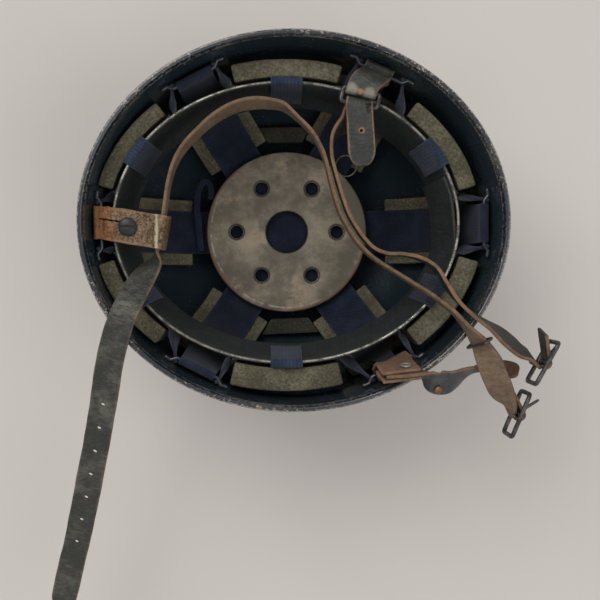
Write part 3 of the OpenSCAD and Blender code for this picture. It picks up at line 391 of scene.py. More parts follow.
class Workshop:
    """Turns grids of points into Blender meshes and hands them to the frame."""

    def __init__(self) -> None:
        """Makes every finish, and looks up the body that each CAD node rides on."""
        self.finishes = {key: (slot, recipe.build()) for key, (slot, recipe) in PALETTE.items()}
        self.body_of = {n: b for b, ns in FRAME["record"]["behaviour"]["bodies"].items() for n in ns}
        self.made = 0

    def grid(
        self,
        name: str,
        points: Array,
        around: bool = True,
        closed: bool = False,
        maps: tuple[Array, Array] | None = None,
        marks: dict[str, Number | Sequence[float]] | None = None,
    ) -> Piece:
        """Makes a mesh from an m by n grid of points in millimetres.

        Face (i, j) joins points (i, j), (i, j+1), (i+1, j+1) and (i+1, j). An open run of rings gets a
        face at each end.

        Args:
            name: The object's name.
            points: The grid, of shape (m, n, 3).
            around: Whether the last column joins the first.
            closed: Whether the last row joins the first.
            maps: Two grids, the UV map's u and v at each point, in metres.
            marks: Named grids of numbers, kept as point attributes.

        Returns:
            The new object.
        """
        m, n, _ = points.shape
        i = np.arange(m if closed else m - 1)[:, None]
        j = np.arange(n if around else n - 1)[None, :]
        i2, j2 = (i + 1) % m, (j + 1) % n
        quads = np.stack([i * n + j, i * n + j2, i2 * n + j2, i2 * n + j], axis=-1).reshape(-1, 4)
        faces: list[list[int]] = quads.tolist()
        if around and not closed:
            faces += [list(range(n))[::-1], [(m - 1) * n + q for q in range(n)]]
        mesh = bpy.data.meshes.new(name)
        mesh.from_pydata((points.reshape(-1, 3) * METRE).tolist(), [], faces)
        if maps is not None:
            uv = np.stack([maps[0].ravel(), maps[1].ravel()], axis=-1)
            layer = mesh.uv_layers.new(name="cloth")
            index = np.empty(len(mesh.loops), np.int32)
            mesh.loops.foreach_get("vertex_index", index)
            layer.data.foreach_set("uv", uv[index].ravel().astype(np.float32))
        for mark, values in (marks or {}).items():
            values = np.broadcast_to(np.asarray(values, np.float32), (m, n)).ravel()
            mesh.attributes.new(mark, "FLOAT", "POINT").data.foreach_set("value", values)
        mesh.polygons.foreach_set("use_smooth", np.ones(len(mesh.polygons), bool))
        mesh.update()
        piece = bpy.data.objects.new(name, mesh)
        bpy.context.scene.collection.objects.link(piece)
        # Every face turns outwards: the signed volume, the sum of a . (b x c) / 6, has to be positive
        mesh.calc_loop_triangles()
        corners = np.empty(len(mesh.loop_triangles) * 3, np.int32)
        mesh.loop_triangles.foreach_get("vertices", corners)
        p = points.reshape(-1, 3)[corners.reshape(-1, 3)]
        if np.einsum("ij,ij->i", p[:, 0], np.cross(p[:, 1], p[:, 2])).sum() < 0:
            mesh.flip_normals()
        return piece

    @staticmethod
    def reshape(piece: Piece, change: Callable[[Array], Array]) -> None:
        """Moves a piece's points by a function of their places in millimetres.

        Args:
            piece: The piece.
            change: Takes the points and returns them moved.
        """
        mesh = piece.data
        co = np.empty(len(mesh.vertices) * 3)
        mesh.vertices.foreach_get("co", co)
        mesh.vertices.foreach_set("co", (change(co.reshape(-1, 3) / METRE) * METRE).ravel())
        mesh.update()

    def cut(self, piece: Piece, *cutters: Piece) -> None:
        """Takes the cutters' volumes out of a piece, for good, and deletes the cutters.

        Args:
            piece: The piece to cut.
            cutters: Closed objects, used one after the other.
        """
        bpy.context.view_layer.objects.active = piece
        for tool in cutters:
            mod = piece.modifiers.new("cut", "BOOLEAN")
            mod.operation = "DIFFERENCE"
            mod.solver = "EXACT"
            mod.object = tool
            bpy.ops.object.modifier_apply(modifier=mod.name)
            bpy.data.objects.remove(tool, do_unlink=True)

    def lathe(self, name: str, c: Array, axis: Array, profile: Sequence[Sequence[float]], sides: int = 40) -> Piece:
        """Turned piece: a profile of radius and height carried round an axis.

        Args:
            name: The object's name.
            c: Where the axis starts.
            axis: Its direction.
            profile: Pairs of radius and height.
            sides: Points round the axis.

        Returns:
            The new object.
        """
        a, ring = ring_of(axis, sides)
        p = np.asarray(profile, float)[:, :, None, None]
        return self.grid(name, c + p[:, 0] * ring[None] + p[:, 1] * a)

    def drill(self, place: Array, axis: Array, r: float, reach: float) -> Piece:
        """Round cutter about an axis through a place, reach long on each side."""
        return self.lathe("cutter", place, axis, [(r, -reach), (r, reach)], 20)

    def block(self, corner: Array, x: Array, y: Array, z: Array) -> Piece:
        """Cutter with flat sides: a corner and three edges."""
        ring = np.stack([corner, corner + x, corner + x + y, corner + y])
        return self.grid("cutter", np.stack([ring, ring + z]))

    def bar_window(self, k: int, depth: float = 11.6) -> Piece:
        """Cutter that frees the middle of bracket k's bar on the wall's side."""
        inwards, along = SHELL.axes(k)
        return self.block(SHELL.from_bar(k, (-8, -7.5, -9)), depth * inwards, 15 * along, 11 * UP)

    def slot(self, c: Place, turn: float) -> Piece:
        """Cutter for the slot that a prong passes through."""
        e, f = heading(turn), heading(turn + 90)
        return self.block(c - 7 * e - 7 * f - 2.4 * UP, 17 * e, 14 * f, 4.8 * UP)

    def tube(self, name: str, path: Array, radii: Number, closed: bool = False) -> Piece:
        """Round wire along a path: at each point a ring of the given radius, square to the run.

        Args:
            name: The object's name.
            path: Points of the middle line.
            radii: The radius, or one for each point.
            closed: Whether the wire joins its own start.

        Returns:
            The new object.
        """
        run = unit(np.roll(path, -1, 0) - np.roll(path, 1, 0) if closed else steps_of(path))
        e = unit(np.cross(run, [0.011, 0.023, 1.0]))[:, None, :]
        f = np.cross(run, e[:, 0])[:, None, :]
        a = np.linspace(0, 2 * np.pi, 14, endpoint=False)[None, :, None]
        r = np.broadcast_to(np.asarray(radii, float), (len(path),))[:, None, None]
        return self.grid(name, path[:, None, :] + r * (np.cos(a) * e + np.sin(a) * f), closed=closed)

    def strap(
        self,
        name: str,
        rows: Array,
        thickness: float,
        ease: float = 0.38,
        across: int = 9,
        worn: float = 0.0,
        seed: float = 0.0,
    ) -> Piece:
        """Flat strap with rounded edges along rows of place, width direction and width.

        The section is a rectangle with round corners, written as core + corner: a point is
        sx (w/2 - r) + cx r across and sy (t/2 - r) + cy r through. Near each end the section
        shrinks on a quarter circle.

        Args:
            name: The object's name.
            rows: Seven numbers for each station.
            thickness: The strap's thickness.
            ease: Corner radius as a share of the thickness.
            across: Points on each flat side.
            worn: How far the edges wander, in millimetres.
            seed: Which of the uneven waves is used.

        Returns:
            The new object, with a UV map in metres and the attributes rim, face and edge.
        """
        run = unit(steps_of(rows[:, :3]))
        side = square_to(rows[:, 3:6], run)
        length, r = length_of(rows), thickness * ease
        quarter = np.radians([0, 35, 65, 90])
        inner = length[(length > r * 1.2) & (length < length[-1] - r * 1.2)]
        s = np.concatenate([r * (1 - np.cos(quarter)), inner, length[-1] - r * (1 - np.cos(quarter[::-1]))])
        inset = r * (1 - np.sin(quarter))
        inset = np.concatenate([inset, np.zeros(len(inner)), inset[::-1]])[:, None]
        columns = np.concatenate([rows[:, :3], side, np.cross(run, side), rows[:, 6:]], axis=1)
        dense = np.stack([np.interp(s, length, column) for column in columns.T], axis=-1)
        place, side, face = dense[:, None, :3], unit(dense[:, None, 3:6]), unit(dense[:, None, 6:9])
        width = dense[:, 9:]
        q, turn = np.linspace(-1, 1, across), np.radians([30, 60, 90, 120, 150])
        bend, lift, one = np.sin(turn), np.round(np.cos(turn), 12), np.ones(5)
        sx = np.concatenate([q, one, q[::-1], -one])
        cx = np.concatenate([0 * q, bend, 0 * q, -bend])
        cy = np.concatenate([0 * q + 1, lift, 0 * q - 1, -lift])
        wander = wobble(s, seed, worn)[:, None] * sx + wobble(s, seed + 9, worn)[:, None] * np.abs(sx)
        a = sx * (width / 2 - r) + cx * (r - inset) + wander
        b = np.sign(cy) * (thickness / 2 - r) + cy * (r - inset)
        marks = {"rim": np.abs(cx), "face": cy, "edge": np.clip(np.abs(a) / np.maximum(width / 2, 1), 0, 1)}
        maps = (a * METRE, np.broadcast_to(s[:, None], a.shape) * METRE)
        return self.grid(name, place + a[..., None] * side + b[..., None] * face, maps=maps, marks=marks)

    def hand_over(self, piece: Piece, node: str, finish: str) -> None:
        """Gives a piece its finish and lets it stand for a CAD node.

        Args:
            piece: The finished mesh.
            node: The CAD node.
            finish: Name of the finish in PALETTE.
        """
        slot, material = self.finishes[finish]
        piece.data.materials.clear()
        piece.data.materials.append(material)
        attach(piece, self.body_of[node])
        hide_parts(node)
        self.made += 1
        log.info("%s stands for %s", piece.name, node)


@dataclass
class Part:
    """A sub-assembly, built with the workshop's tools."""

    shop: Workshop


# ---------------------------------------------------------------- finishes


def maths(operation: str, flipped: bool = False) -> Callable[..., Value]:
    """Makes a method of Value that adds a Math node with an operation on itself and the other terms.

    Args:
        operation: The node's operation.
        flipped: Whether the other terms come first.

    Returns:
        The method.
    """

    def method(self: Value, *others: Value | float) -> Value:
        """Adds the node and returns its result."""
        node = self.tree.nodes.new("ShaderNodeMath")
        node.operation = operation
        for port, term in zip(node.inputs, (*others, self) if flipped else (self, *others)):
            if isinstance(term, Value):
                self.tree.links.new(term.socket, port)
            else:
                port.default_value = term
        return Value(self.tree, node.outputs[0])

    return method


@dataclass(frozen=True, eq=False)
class Value:
    """One number on a surface. Python maths on it adds Math nodes; larger takes the larger of two."""

    tree: bpy.types.NodeTree
    socket: bpy.types.NodeSocket
    __add__ = __radd__ = maths("ADD")
    __mul__ = __rmul__ = maths("MULTIPLY")
    __sub__ = maths("SUBTRACT")
    __rsub__ = maths("SUBTRACT", flipped=True)
    __pow__ = maths("POWER")
    sin = maths("SINE")
    abs = maths("ABSOLUTE")
    larger = maths("MAXIMUM")

    def step(self, low: float, high: float) -> Value:
        """Smooth step from 0 at low to 1 at high.

        Args:
            low: Where it leaves 0.
            high: Where it reaches 1.

        Returns:
            The step.
        """
        node = self.tree.nodes.new("ShaderNodeMapRange")
        node.interpolation_type = "SMOOTHSTEP"
        node.inputs["From Min"].default_value = low
        node.inputs["From Max"].default_value = high
        self.tree.links.new(self.socket, node.inputs["Value"])
        return Value(self.tree, node.outputs["Result"])


class Finish:
    """A material under construction: one Principled shader and the nodes that feed it."""

    def __init__(self, name: str, **fixed: float) -> None:
        """Starts a material.

        Args:
            name: The material's name.
            fixed: Numbers for the shader's own sockets, by name with _ for a space.
        """
        self.material = bpy.data.materials.new(name)
        self.material.use_nodes = True
        self.tree = self.material.node_tree
        self.shader = self.tree.nodes["Principled BSDF"]
        for key, value in fixed.items():
            self.shader.inputs[key.replace("_", " ")].default_value = value
        self.place = self.make("ShaderNodeTexCoord").outputs["Object"]

    def make(self, kind: str, settings: dict[str, str] | None = None, **links: object) -> bpy.types.Node:
        """Adds a node.

        Args:
            kind: The node's type.
            settings: Attributes of the node, set first.
            links: Numbers, sockets or Value objects for its inputs, by name.

        Returns:
            The node.
        """
        node = self.tree.nodes.new(kind)
        for key, value in (settings or {}).items():
            setattr(node, key, value)
        for key, value in links.items():
            value = value.socket if isinstance(value, Value) else value
            if isinstance(value, bpy.types.NodeSocket):
                self.tree.links.new(value, node.inputs[key])
            else:
                node.inputs[key].default_value = value
        return node

    def noise(self, size: float, detail: float = 3.0, rough: float = 0.55) -> Value:
        """Cloudy noise with blotches of about the given size in millimetres.

        Args:
            size: Size of the blotches.
            detail: How many finer layers it has.
            rough: How strong those are.

        Returns:
            The noise, from 0 to 1.
        """
        scale = 1 / (size * METRE)
        node = self.make("ShaderNodeTexNoise", Vector=self.place, Scale=scale, Detail=detail, Roughness=rough)
        return Value(self.tree, node.outputs["Fac"])

    def cloth(self) -> bpy.types.NodeSocket:
        """The cloth map: metres across and metres along."""
        return self.make("ShaderNodeUVMap", {"uv_map": "cloth"}).outputs["UV"]

    def folds(self, size: float) -> Value:
        """Noise on the cloth map, drawn out across a strap so that its folds run from edge to edge.

        Args:
            size: Size of the folds along the strap.

        Returns:
            The noise, from 0 to 1.
        """
        vector = self.make("ShaderNodeMapping", Vector=self.cloth(), Scale=(0.32, 1.0, 1.0)).outputs["Vector"]
        scale = 1 / (size * METRE)
        node = self.make("ShaderNodeTexNoise", Vector=vector, Scale=scale, Detail=4.0, Roughness=0.6, Distortion=0.6)
        return Value(self.tree, node.outputs["Fac"])

    def cells(self, size: float) -> Value:
        """Distance to the nearest of scattered points about size millimetres apart."""
        node = self.make("ShaderNodeTexVoronoi", Vector=self.place, Scale=1 / (size * METRE))
        return Value(self.tree, node.outputs["Distance"])

    def mark(self, name: str) -> Value:
        """A point attribute."""
        return Value(self.tree, self.make("ShaderNodeAttribute", {"attribute_name": name}).outputs["Fac"])

    def split(self, vector: bpy.types.NodeSocket | None = None) -> tuple[Value, Value, Value]:
        """The three numbers of a vector, or of the object coordinates in metres."""
        node = self.make("ShaderNodeSeparateXYZ", Vector=vector or self.place)
        return tuple(Value(self.tree, node.outputs[q]) for q in "XYZ")

    def blend(
        self, a: Colour | bpy.types.NodeSocket, b: Colour | bpy.types.NodeSocket, share: Value
    ) -> bpy.types.NodeSocket:
        """Mixes two colours: a where share is 0, b where it is 1.

        Args:
            a: A colour or a colour socket.
            b: Another.
            share: How much of b.

        Returns:
            The mixed colour.
        """
        node = self.tree.nodes.new("ShaderNodeMix")
        node.data_type = "RGBA"
        self.tree.links.new(share.socket, node.inputs[0])
        for port, colour in ((node.inputs[6], a), (node.inputs[7], b)):
            if isinstance(colour, tuple):
                port.default_value = (*colour, 1.0)
            else:
                self.tree.links.new(colour, port)
        return node.outputs[2]

    def finished(
        self, colour: bpy.types.NodeSocket, roughness: Value, height: Value, depth: float, **more: Value
    ) -> bpy.types.Material:
        """Links the shader's inputs.

        Args:
            colour: The base colour.
            roughness: The roughness.
            height: The height that the bump is made from.
            depth: The bump's depth in millimetres.
            more: Numbers for other inputs, with _ for a space.

        Returns:
            The material.
        """
        bump = self.make("ShaderNodeBump", Height=height, Distance=depth * METRE, Strength=1.0)
        links = {"Base Color": colour, "Roughness": roughness.socket, "Normal": bump.outputs["Normal"]}
        links |= {key.replace("_", " "): value.socket for key, value in more.items()}
        for port, socket in links.items():
            self.tree.links.new(socket, self.shader.inputs[port])
        return self.material


def scaled(colour: Colour, share: float, lift: float = 0.0) -> Colour:
    """A colour times a share, plus a lift."""
    return tuple(share * c + lift for c in colour)


class Weave(Enum):
    """How a webbing is woven."""

    PLAIN = "plain"
    TWILL = "twill"


@dataclass(frozen=True)
class Webbing:
    """Woven strap: threads across and along, darker between, lighter where it is rubbed."""

    name: str
    low: Colour
    high: Colour
    weave: Weave
    pitch: float = 1.3

    def build(self) -> bpy.types.Material:
        """Makes the material.

        Returns:
            The material.
        """
        f = Finish(self.name, Roughness=0.85, Specular_IOR_Level=0.25, Sheen_Weight=0.12)
        u, v, _ = f.split(f.cloth())
        turn = 2 * np.pi / (self.pitch * METRE)
        if self.weave is Weave.TWILL:
            # Diagonal ridges, broken by the threads that cross them
            ridge = ((u + v) * turn).sin() * 0.5 + 0.5
            height = ridge * 0.6 + (v * turn * 2.0).sin() * (u * turn * 2.0).sin() * 0.3 + 0.1
        else:
            height = (u * turn).sin() * (v * turn).sin() * 0.5 + 0.5 + (u * turn * 0.5).sin() * 0.25
        cloud, fuzz = f.noise(14.0, 4.0), f.noise(0.7, 2.0)
        edge = f.mark("edge").step(0.86, 1.0)
        share = height * 0.5 + (cloud - 0.5) * 1.5 + (fuzz - 0.5) * 1.3 + edge * 0.25
        tone = f.blend(self.low, self.high, share.step(-0.1, 1.1))
        return f.finished(tone, 0.78 + cloud * 0.2, height * 0.8 + fuzz * 0.5, 0.35)


@dataclass(frozen=True)
class Foam:
    """Cut foam: fine open cells, paler on its rubbed edges, dusty in patches."""

    name: str
    low: Colour
    high: Colour

    def build(self) -> bpy.types.Material:
        """Makes the material.

        Returns:
            The material.
        """
        f = Finish(self.name, Specular_IOR_Level=0.12)
        cloud, fine = f.noise(26.0, 5.0), f.noise(1.6, 3.0)
        share = cloud * 0.9 + (fine - 0.5) * 0.9 + f.mark("edge").step(0.8, 1.0) * 0.14 - 0.05
        tone = f.blend(self.low, self.high, share.step(0.15, 0.95))
        return f.finished(tone, 0.9 + fine * 0.1, f.cells(1.1) * 0.6 + fine * 0.9, 0.6)


@dataclass(frozen=True)
class Leather:
    """Strap leather: grain side and flesh side, raw edges, creases and rubbed places. The creases carry painted shade
    in their valleys and a painted highlight on their crests.
    """

    name: str
    grain: Colour
    # Tone of rubbed places, which the crease crests also get as a painted highlight
    rubbed: Colour
    flesh: Colour
    raw: Colour
    grain_up: float = 1.0
    gloss: float = 0.42
    creased: float = 1.0
    frayed: float = 0.0
    spots: tuple[tuple[float, float, float, Colour], ...] = ()

    def build(self) -> bpy.types.Material:
        """Makes the material. The face attribute tells the two sides apart, and rim finds the raw edges.

        Returns:
            The material.
        """
        f = Finish(self.name, Specular_IOR_Level=0.4)
        cloud, grime, fibre = f.noise(22.0, 5.0), f.noise(6.0, 5.0, 0.65), f.noise(1.2, 4.0, 0.7)
        fold, edge = f.folds(3.2), f.mark("edge")
        # Sharp valleys where the noise crosses its middle: 1 - |2n - 1|, steepened. They shape the bump and put
        # painted shade along the valleys
        line = (1.0 - (fold * 2.0 - 1.0).abs() * 3.0).larger(0.0) ** 3.0
        wear_and_crease_light = (cloud - 0.5) * 2.2 + (grime - 0.5) * 1.5 + edge.step(0.78, 1.0) * 0.3
        # Lighter on the fold crests, darker along the valleys: painted highlight and painted shade that follow the
        # bump
        wear_and_crease_light = wear_and_crease_light + (fold - 0.5) * 0.35 * self.creased - line * 0.3 * self.creased
        skin = f.blend(self.grain, self.rubbed, wear_and_crease_light.step(-0.4, 0.9))
        back = (f.mark("face") * self.grain_up).step(0.2, -0.2)
        # The flesh side darkens along the valleys too: painted shade
        nap = fibre * 0.8 + cloud * 0.9 + (grime - 0.5) * 0.8 - 0.35 - line * 0.2
        tone = f.blend(skin, f.blend(scaled(self.flesh, 0.5), self.flesh, nap.step(0.05, 0.75)), back)
        torn = (edge + (grime - 0.5) * 0.2).step(0.96 - 0.12 * self.frayed, 1.0 - 0.1 * self.frayed)
        rim = (f.mark("rim") + (grime - 0.5) * 0.7).step(0.45, 0.85).larger(torn)
        soil = (grime * 1.2 + cloud * 0.8 - 0.6).step(0.1, 0.7)
        tone = f.blend(tone, f.blend(scaled(self.raw, 0.5, 0.012), self.raw, soil), rim)
        x, y, _ = f.split()
        # Round spots of given colours: copper marks, and painted highlights where a strap bends over a bar
        for px, py, r, colour in self.spots:
            gap = ((x - px * METRE) ** 2.0 + (y - py * METRE) ** 2.0) ** 0.5 * 1000.0 + (grime - 0.5) * r * 0.9
            tone = f.blend(colour, tone, gap.step(r * 0.45, r * 1.1))
        height = f.cells(0.9) * 0.3 + grime * 0.6 + (fold * 0.5 - line * 0.4) * self.creased
        height = height + fibre * (0.2 + back * 0.6)
        return f.finished(tone, self.gloss + (grime - 0.45) * 0.3 + back * 0.3 + rim * 0.3, height, 0.8)


@dataclass(frozen=True)
class Enamel:
    """Glossy paint on pressed steel, chipped to bare metal and rust along the rim and in scratches."""

    name: str
    paint: Colour
    chips: bool = True
    crest: float = 0.0
    bare: Colour = (0.36, 0.34, 0.32)

    def build(self) -> bpy.types.Material:
        """Makes the material.

        Returns:
            The material.
        """
        f = Finish(self.name, Specular_IOR_Level=0.5, Coat_Roughness=0.08)
        cloud, fine, orange = f.noise(40.0, 4.0), f.noise(2.2, 4.0, 0.65), f.noise(5.0, 2.0)
        if self.chips:
            near = f.split()[2].step(0.135, 0.166)
            # crest adds bare metal where the edge mark is high; on the strip that is wear and painted highlight lines
            chip = (fine * 0.75 + cloud * 0.35 + near * 0.1 + f.mark("edge") * self.crest).step(0.735, 0.75)
        else:
            chip = fine.step(0.78, 0.8)
        dust = (cloud * 0.8 + fine * 0.4 - 0.35).step(0.1, 0.8)
        coat = f.blend(self.paint, scaled(self.paint, 1.7, 0.012), dust)
        rust = f.blend(self.bare, (0.16, 0.09, 0.05), f.noise(1.0).step(0.4, 0.65))
        height = orange * 0.25 - chip * 0.6 + fine * 0.04
        rough = 0.22 + dust * 0.22 + chip * 0.25
        tone = f.blend(coat, rust, chip)
        return f.finished(tone, rough, height, 0.12, Metallic=chip * 0.7, Coat_Weight=(1.0 - chip) * 0.5)


@dataclass(frozen=True)
class Metal:
    """Bare or blackened metal with tarnish in blotches and fine scratches."""

    name: str
    bright: Colour
    tarnish: Colour
    spread: float = 0.5
    rough: float = 0.32
    metallic: float = 0.9

    def build(self) -> bpy.types.Material:
        """Makes the material.

        Returns:
            The material.
        """
        f = Finish(self.name)
        cloud, fine = f.noise(7.0, 5.0, 0.65), f.noise(0.8, 3.0)
        old = (cloud + (fine - 0.5) * 0.5).step(self.spread - 0.12, self.spread + 0.12)
        rough = self.rough + old * 0.3 + (fine - 0.5) * 0.15
        tone = f.blend(self.bright, self.tarnish, old)
        return f.finished(tone, rough, fine * 0.5 + cloud * 0.5, 0.12, Metallic=self.metallic - old * 0.35)


@dataclass(frozen=True)
class TabLeather:
    """Rough split leather: torn fibres, orange where it is least soiled, a pale line over a fold that is a painted
    highlight.
    """

    name: str
    soiled: Colour = (0.062, 0.038, 0.022)
    fibre: Colour = (0.30, 0.20, 0.12)
    orange: Colour = (0.33, 0.15, 0.065)
    # Colour of the painted highlight along the fold
    pale: Colour = (0.50, 0.42, 0.29)
    orange_x: tuple[float, float] = (-0.112, -0.126)
    fold_x: float = -0.0895

    def build(self) -> bpy.types.Material:
        """Makes the material. The orange end and the fold are found by X in object coordinates.

        Returns:
            The material.
        """
        f = Finish(self.name, Specular_IOR_Level=0.3)
        x, _, _ = f.split()
        cloud, fibre, fold = f.noise(12.0, 5.0), f.noise(1.5, 5.0, 0.75), f.folds(3.0)
        share = (fibre - 0.5) * 3.0 + (cloud - 0.5) * 1.6 + (fold - 0.5) * 1.2 + 0.42
        share = share + f.mark("edge").step(0.8, 1.0) * 0.3
        warm = f.blend(scaled(self.orange, 0.35), scaled(self.orange, 1.15), (share + 0.2).step(0.0, 1.0))
        raw = f.mark("rim").step(0.4, 0.8) * 0.9
        end = (x + (cloud - 0.5) * 0.02).step(*self.orange_x).larger(raw)
        tone = f.blend(f.blend(self.soiled, self.fibre, share.step(0.0, 1.0)), warm, end)
        # Painted highlight: a pale line along the fold where the tab turns round
        fold_highlight = (1.0 - ((x - self.fold_x + (cloud - 0.5) * 0.004) * 550.0).abs()).larger(0.0)
        tone = f.blend(tone, self.pale, (fold_highlight * fibre * 2.4).step(0.2, 1.0))
        return f.finished(tone, 0.55 + (fibre - 0.5) * 0.3, fibre + fold * 0.5 + cloud * 0.3, 1.1)


@dataclass(frozen=True)
class DiscLeather:
    """The crown disc's grey facing: scuffed, with brown at its rim and painted shade beside its holes."""

    name: str
    worn: Colour = (0.37, 0.315, 0.225)
    dark: Colour = (0.125, 0.105, 0.073)
    rim: Colour = (0.15, 0.082, 0.045)
    blush: Colour = (0.45, 0.34, 0.24)
    pale: Colour = (0.5, 0.46, 0.36)
    # Colour of the painted shade in the dish beside the holes
    hole_shade: Colour = (0.03, 0.027, 0.02)

    def build(self) -> bpy.types.Material:
        """Makes the material. Distances are measured from the hub in object coordinates.

        Returns:
            The material.
        """
        f = Finish(self.name, Specular_IOR_Level=0.4)
        x, y, _ = f.split()
        r = ((x - HUB[0] * METRE) ** 2.0 + (y - HUB[1] * METRE) ** 2.0) ** 0.5
        cloud, scuff, fine = f.noise(36.0, 6.0, 0.62), f.noise(7.0, 6.0, 0.7), f.noise(0.9, 3.0)
        share = cloud * 1.7 + (scuff - 0.5) * 0.75 + (fine - 0.5) * 0.3 - 0.38 - r.step(0.034, 0.06) * 0.2
        tone = f.blend(self.dark, self.worn, share.step(0.1, 0.9))
        tone = f.blend(tone, self.blush, f.noise(30.0).step(0.5, 0.66) * scuff.step(0.35, 0.6) * 0.6)
        # Brown shows along the very rim, most of it to the left and to the lower right
        side = ((x * -1.0).step(0.02, 0.055) + (x - y).step(0.04, 0.075)).step(0.1, 0.9)
        brown = (side + (scuff - 0.5) * 0.6) * (r + (scuff - 0.5) * 0.004).step(0.0578, 0.0595) * 0.9
        tone = f.blend(tone, self.rim, brown)
        # A pale line just inside the rim at the lower left
        ring = (1.0 - ((r - 0.0572) * 1300.0).abs()).larger(0.0) * ((x + y) * -1.0).step(0.01, 0.06)
        tone = f.blend(tone, self.pale, ring * scuff.step(0.4, 0.6))
        # Painted shade in the dish beside each hole
        tone = f.blend(tone, self.hole_shade, f.mark("pit").step(0.22, 0.62) * 0.94)
        return f.finished(tone, 0.36 + cloud * 0.25, scuff * 0.7 + f.cells(1.2) * 0.2 + fine * 0.3, 0.4)


Recipe = Webbing | Foam | Leather | Enamel | Metal | TabLeather | DiscLeather
BLACK, RUBBED, RAW = (0.03, 0.031, 0.026), (0.135, 0.126, 0.101), (0.235, 0.14, 0.08)
# COPPER is a mark's own colour; the second is a painted highlight for the hanger's bend
COPPER, BEND_HIGHLIGHT = (0.34, 0.15, 0.075), (0.215, 0.202, 0.163)
# Finishes by their short names: the record's material slot and the recipe
PALETTE: dict[str, tuple[str, Recipe]] = {
    "enamel": ("shell_enamel", Enamel("navy_enamel", (0.016, 0.027, 0.035))),
    "bracket": ("bracket_paint", Enamel("bracket_enamel", (0.009, 0.015, 0.023), chips=False)),
    # The strip's bare crest and lip are wear and also painted highlight lines
    "strip": (
        "bright_steel",
        Enamel("strip_enamel", (0.012, 0.019, 0.027), crest=0.24, bare=(0.42, 0.40, 0.36)),
    ),
    "bright": ("bright_steel", Metal("worn_steel", (0.62, 0.60, 0.56), (0.20, 0.18, 0.16), 0.52, 0.3)),
    "piping": ("bright_steel", Metal("dull_piping", (0.34, 0.33, 0.28), (0.07, 0.07, 0.062), 0.5, 0.28, 0.85)),
    "brass": ("bright_steel", Metal("olive_brass", (0.26, 0.24, 0.16), (0.08, 0.075, 0.05), 0.5, 0.35, 0.8)),
    "wire": (
        "dark_metal",
        Metal("blackened_wire", (0.085, 0.082, 0.078), (0.025, 0.023, 0.02), 0.5, 0.34, 0.7),
    ),
    "stud": ("dark_metal", Metal("black_stud", (0.03, 0.03, 0.032), (0.008, 0.008, 0.009), 0.5, 0.22, 0.4)),
    "copper": ("copper", Metal("dull_copper", (0.42, 0.20, 0.11), (0.16, 0.075, 0.045), 0.5, 0.4)),
    "foam": ("foam", Foam("cut_foam", (0.07, 0.064, 0.043), (0.255, 0.23, 0.155))),
    # The bridge pads get the foam darkened: painted shade
    "bridge": ("foam", Foam("painted_shade_foam", (0.035, 0.036, 0.028), (0.10, 0.096, 0.07))),
    "loops": (
        "blue_webbing",
        Webbing("blue_loop_webbing", (0.011, 0.019, 0.036), (0.046, 0.072, 0.122), Weave.PLAIN, 1.2),
    ),
    "crown": (
        "blue_webbing",
        Webbing("blue_twill_webbing", (0.007, 0.011, 0.024), (0.032, 0.045, 0.083), Weave.TWILL, 1.7),
    ),
    "sling": (
        "grey_webbing",
        Webbing("grey_webbing", (0.014, 0.018, 0.027), (0.07, 0.08, 0.105), Weave.PLAIN, 1.5),
    ),
    "band": (
        "band_leather",
        Leather(
            "band_leather", (0.014, 0.016, 0.016), (0.05, 0.052, 0.05), (0.036, 0.043, 0.045),
            (0.06, 0.06, 0.052), gloss=0.33,
        ),
    ),
    "chin": (
        "strap_leather",
        Leather("chin_leather", BLACK, RUBBED, (0.24, 0.165, 0.105), RAW, -1.0, 0.34, 0.8, 0.15),
    ),
    "right": (
        "strap_leather",
        Leather(
            "right_leather", (0.02, 0.022, 0.018), (0.07, 0.07, 0.059), (0.046, 0.046, 0.038),
            (0.25, 0.145, 0.085), -1.0, 0.38, 0.4, 1.1, ((43.4, 59.0, 2.4, COPPER),),
        ),
    ),
    "left": (
        "strap_leather",
        Leather(
            "left_leather", (0.03, 0.036, 0.037), (0.11, 0.115, 0.108), (0.17, 0.105, 0.066), RAW,
            gloss=0.36, creased=0.6, frayed=0.6,
        ),
    ),
    "brown": ("brown_leather", TabLeather("rough_brown_leather")),
    "tan": (
        "tan_leather",
        Leather(
            "tan_leather", (0.10, 0.066, 0.044), (0.29, 0.185, 0.12), (0.24, 0.14, 0.085),
            (0.30, 0.165, 0.088), gloss=0.55, frayed=0.5,
        ),
    ),
    "hanger": (
        "strap_leather",
        Leather(
            "worn_grey_leather", (0.025, 0.026, 0.022), (0.092, 0.09, 0.076), (0.07, 0.062, 0.048),
            (0.20, 0.105, 0.06), 1.0, 0.38, 0.6, 0.5,
            # Two pale spots are painted highlights where the hanger bends over the adjuster's upper bar
            ((37.0, 85.3, 5.4, BEND_HIGHLIGHT), (48.4, 83.2, 5.0, BEND_HIGHLIGHT), (42.6, 84.3, 2.3, COPPER)),
        ),
    ),
    "backing": (
        "backing_leather",
        Leather(
            "disc_backing_leather", (0.05, 0.035, 0.025), (0.12, 0.08, 0.05), (0.1, 0.07, 0.05),
            (0.13, 0.08, 0.05), gloss=0.5, creased=0.0,
        ),
    ),
    "disc": ("disc_leather", DiscLeather("disc_leather")),
}  # fmt: skip


# ---------------------------------------------------------------- shell, strip and brackets


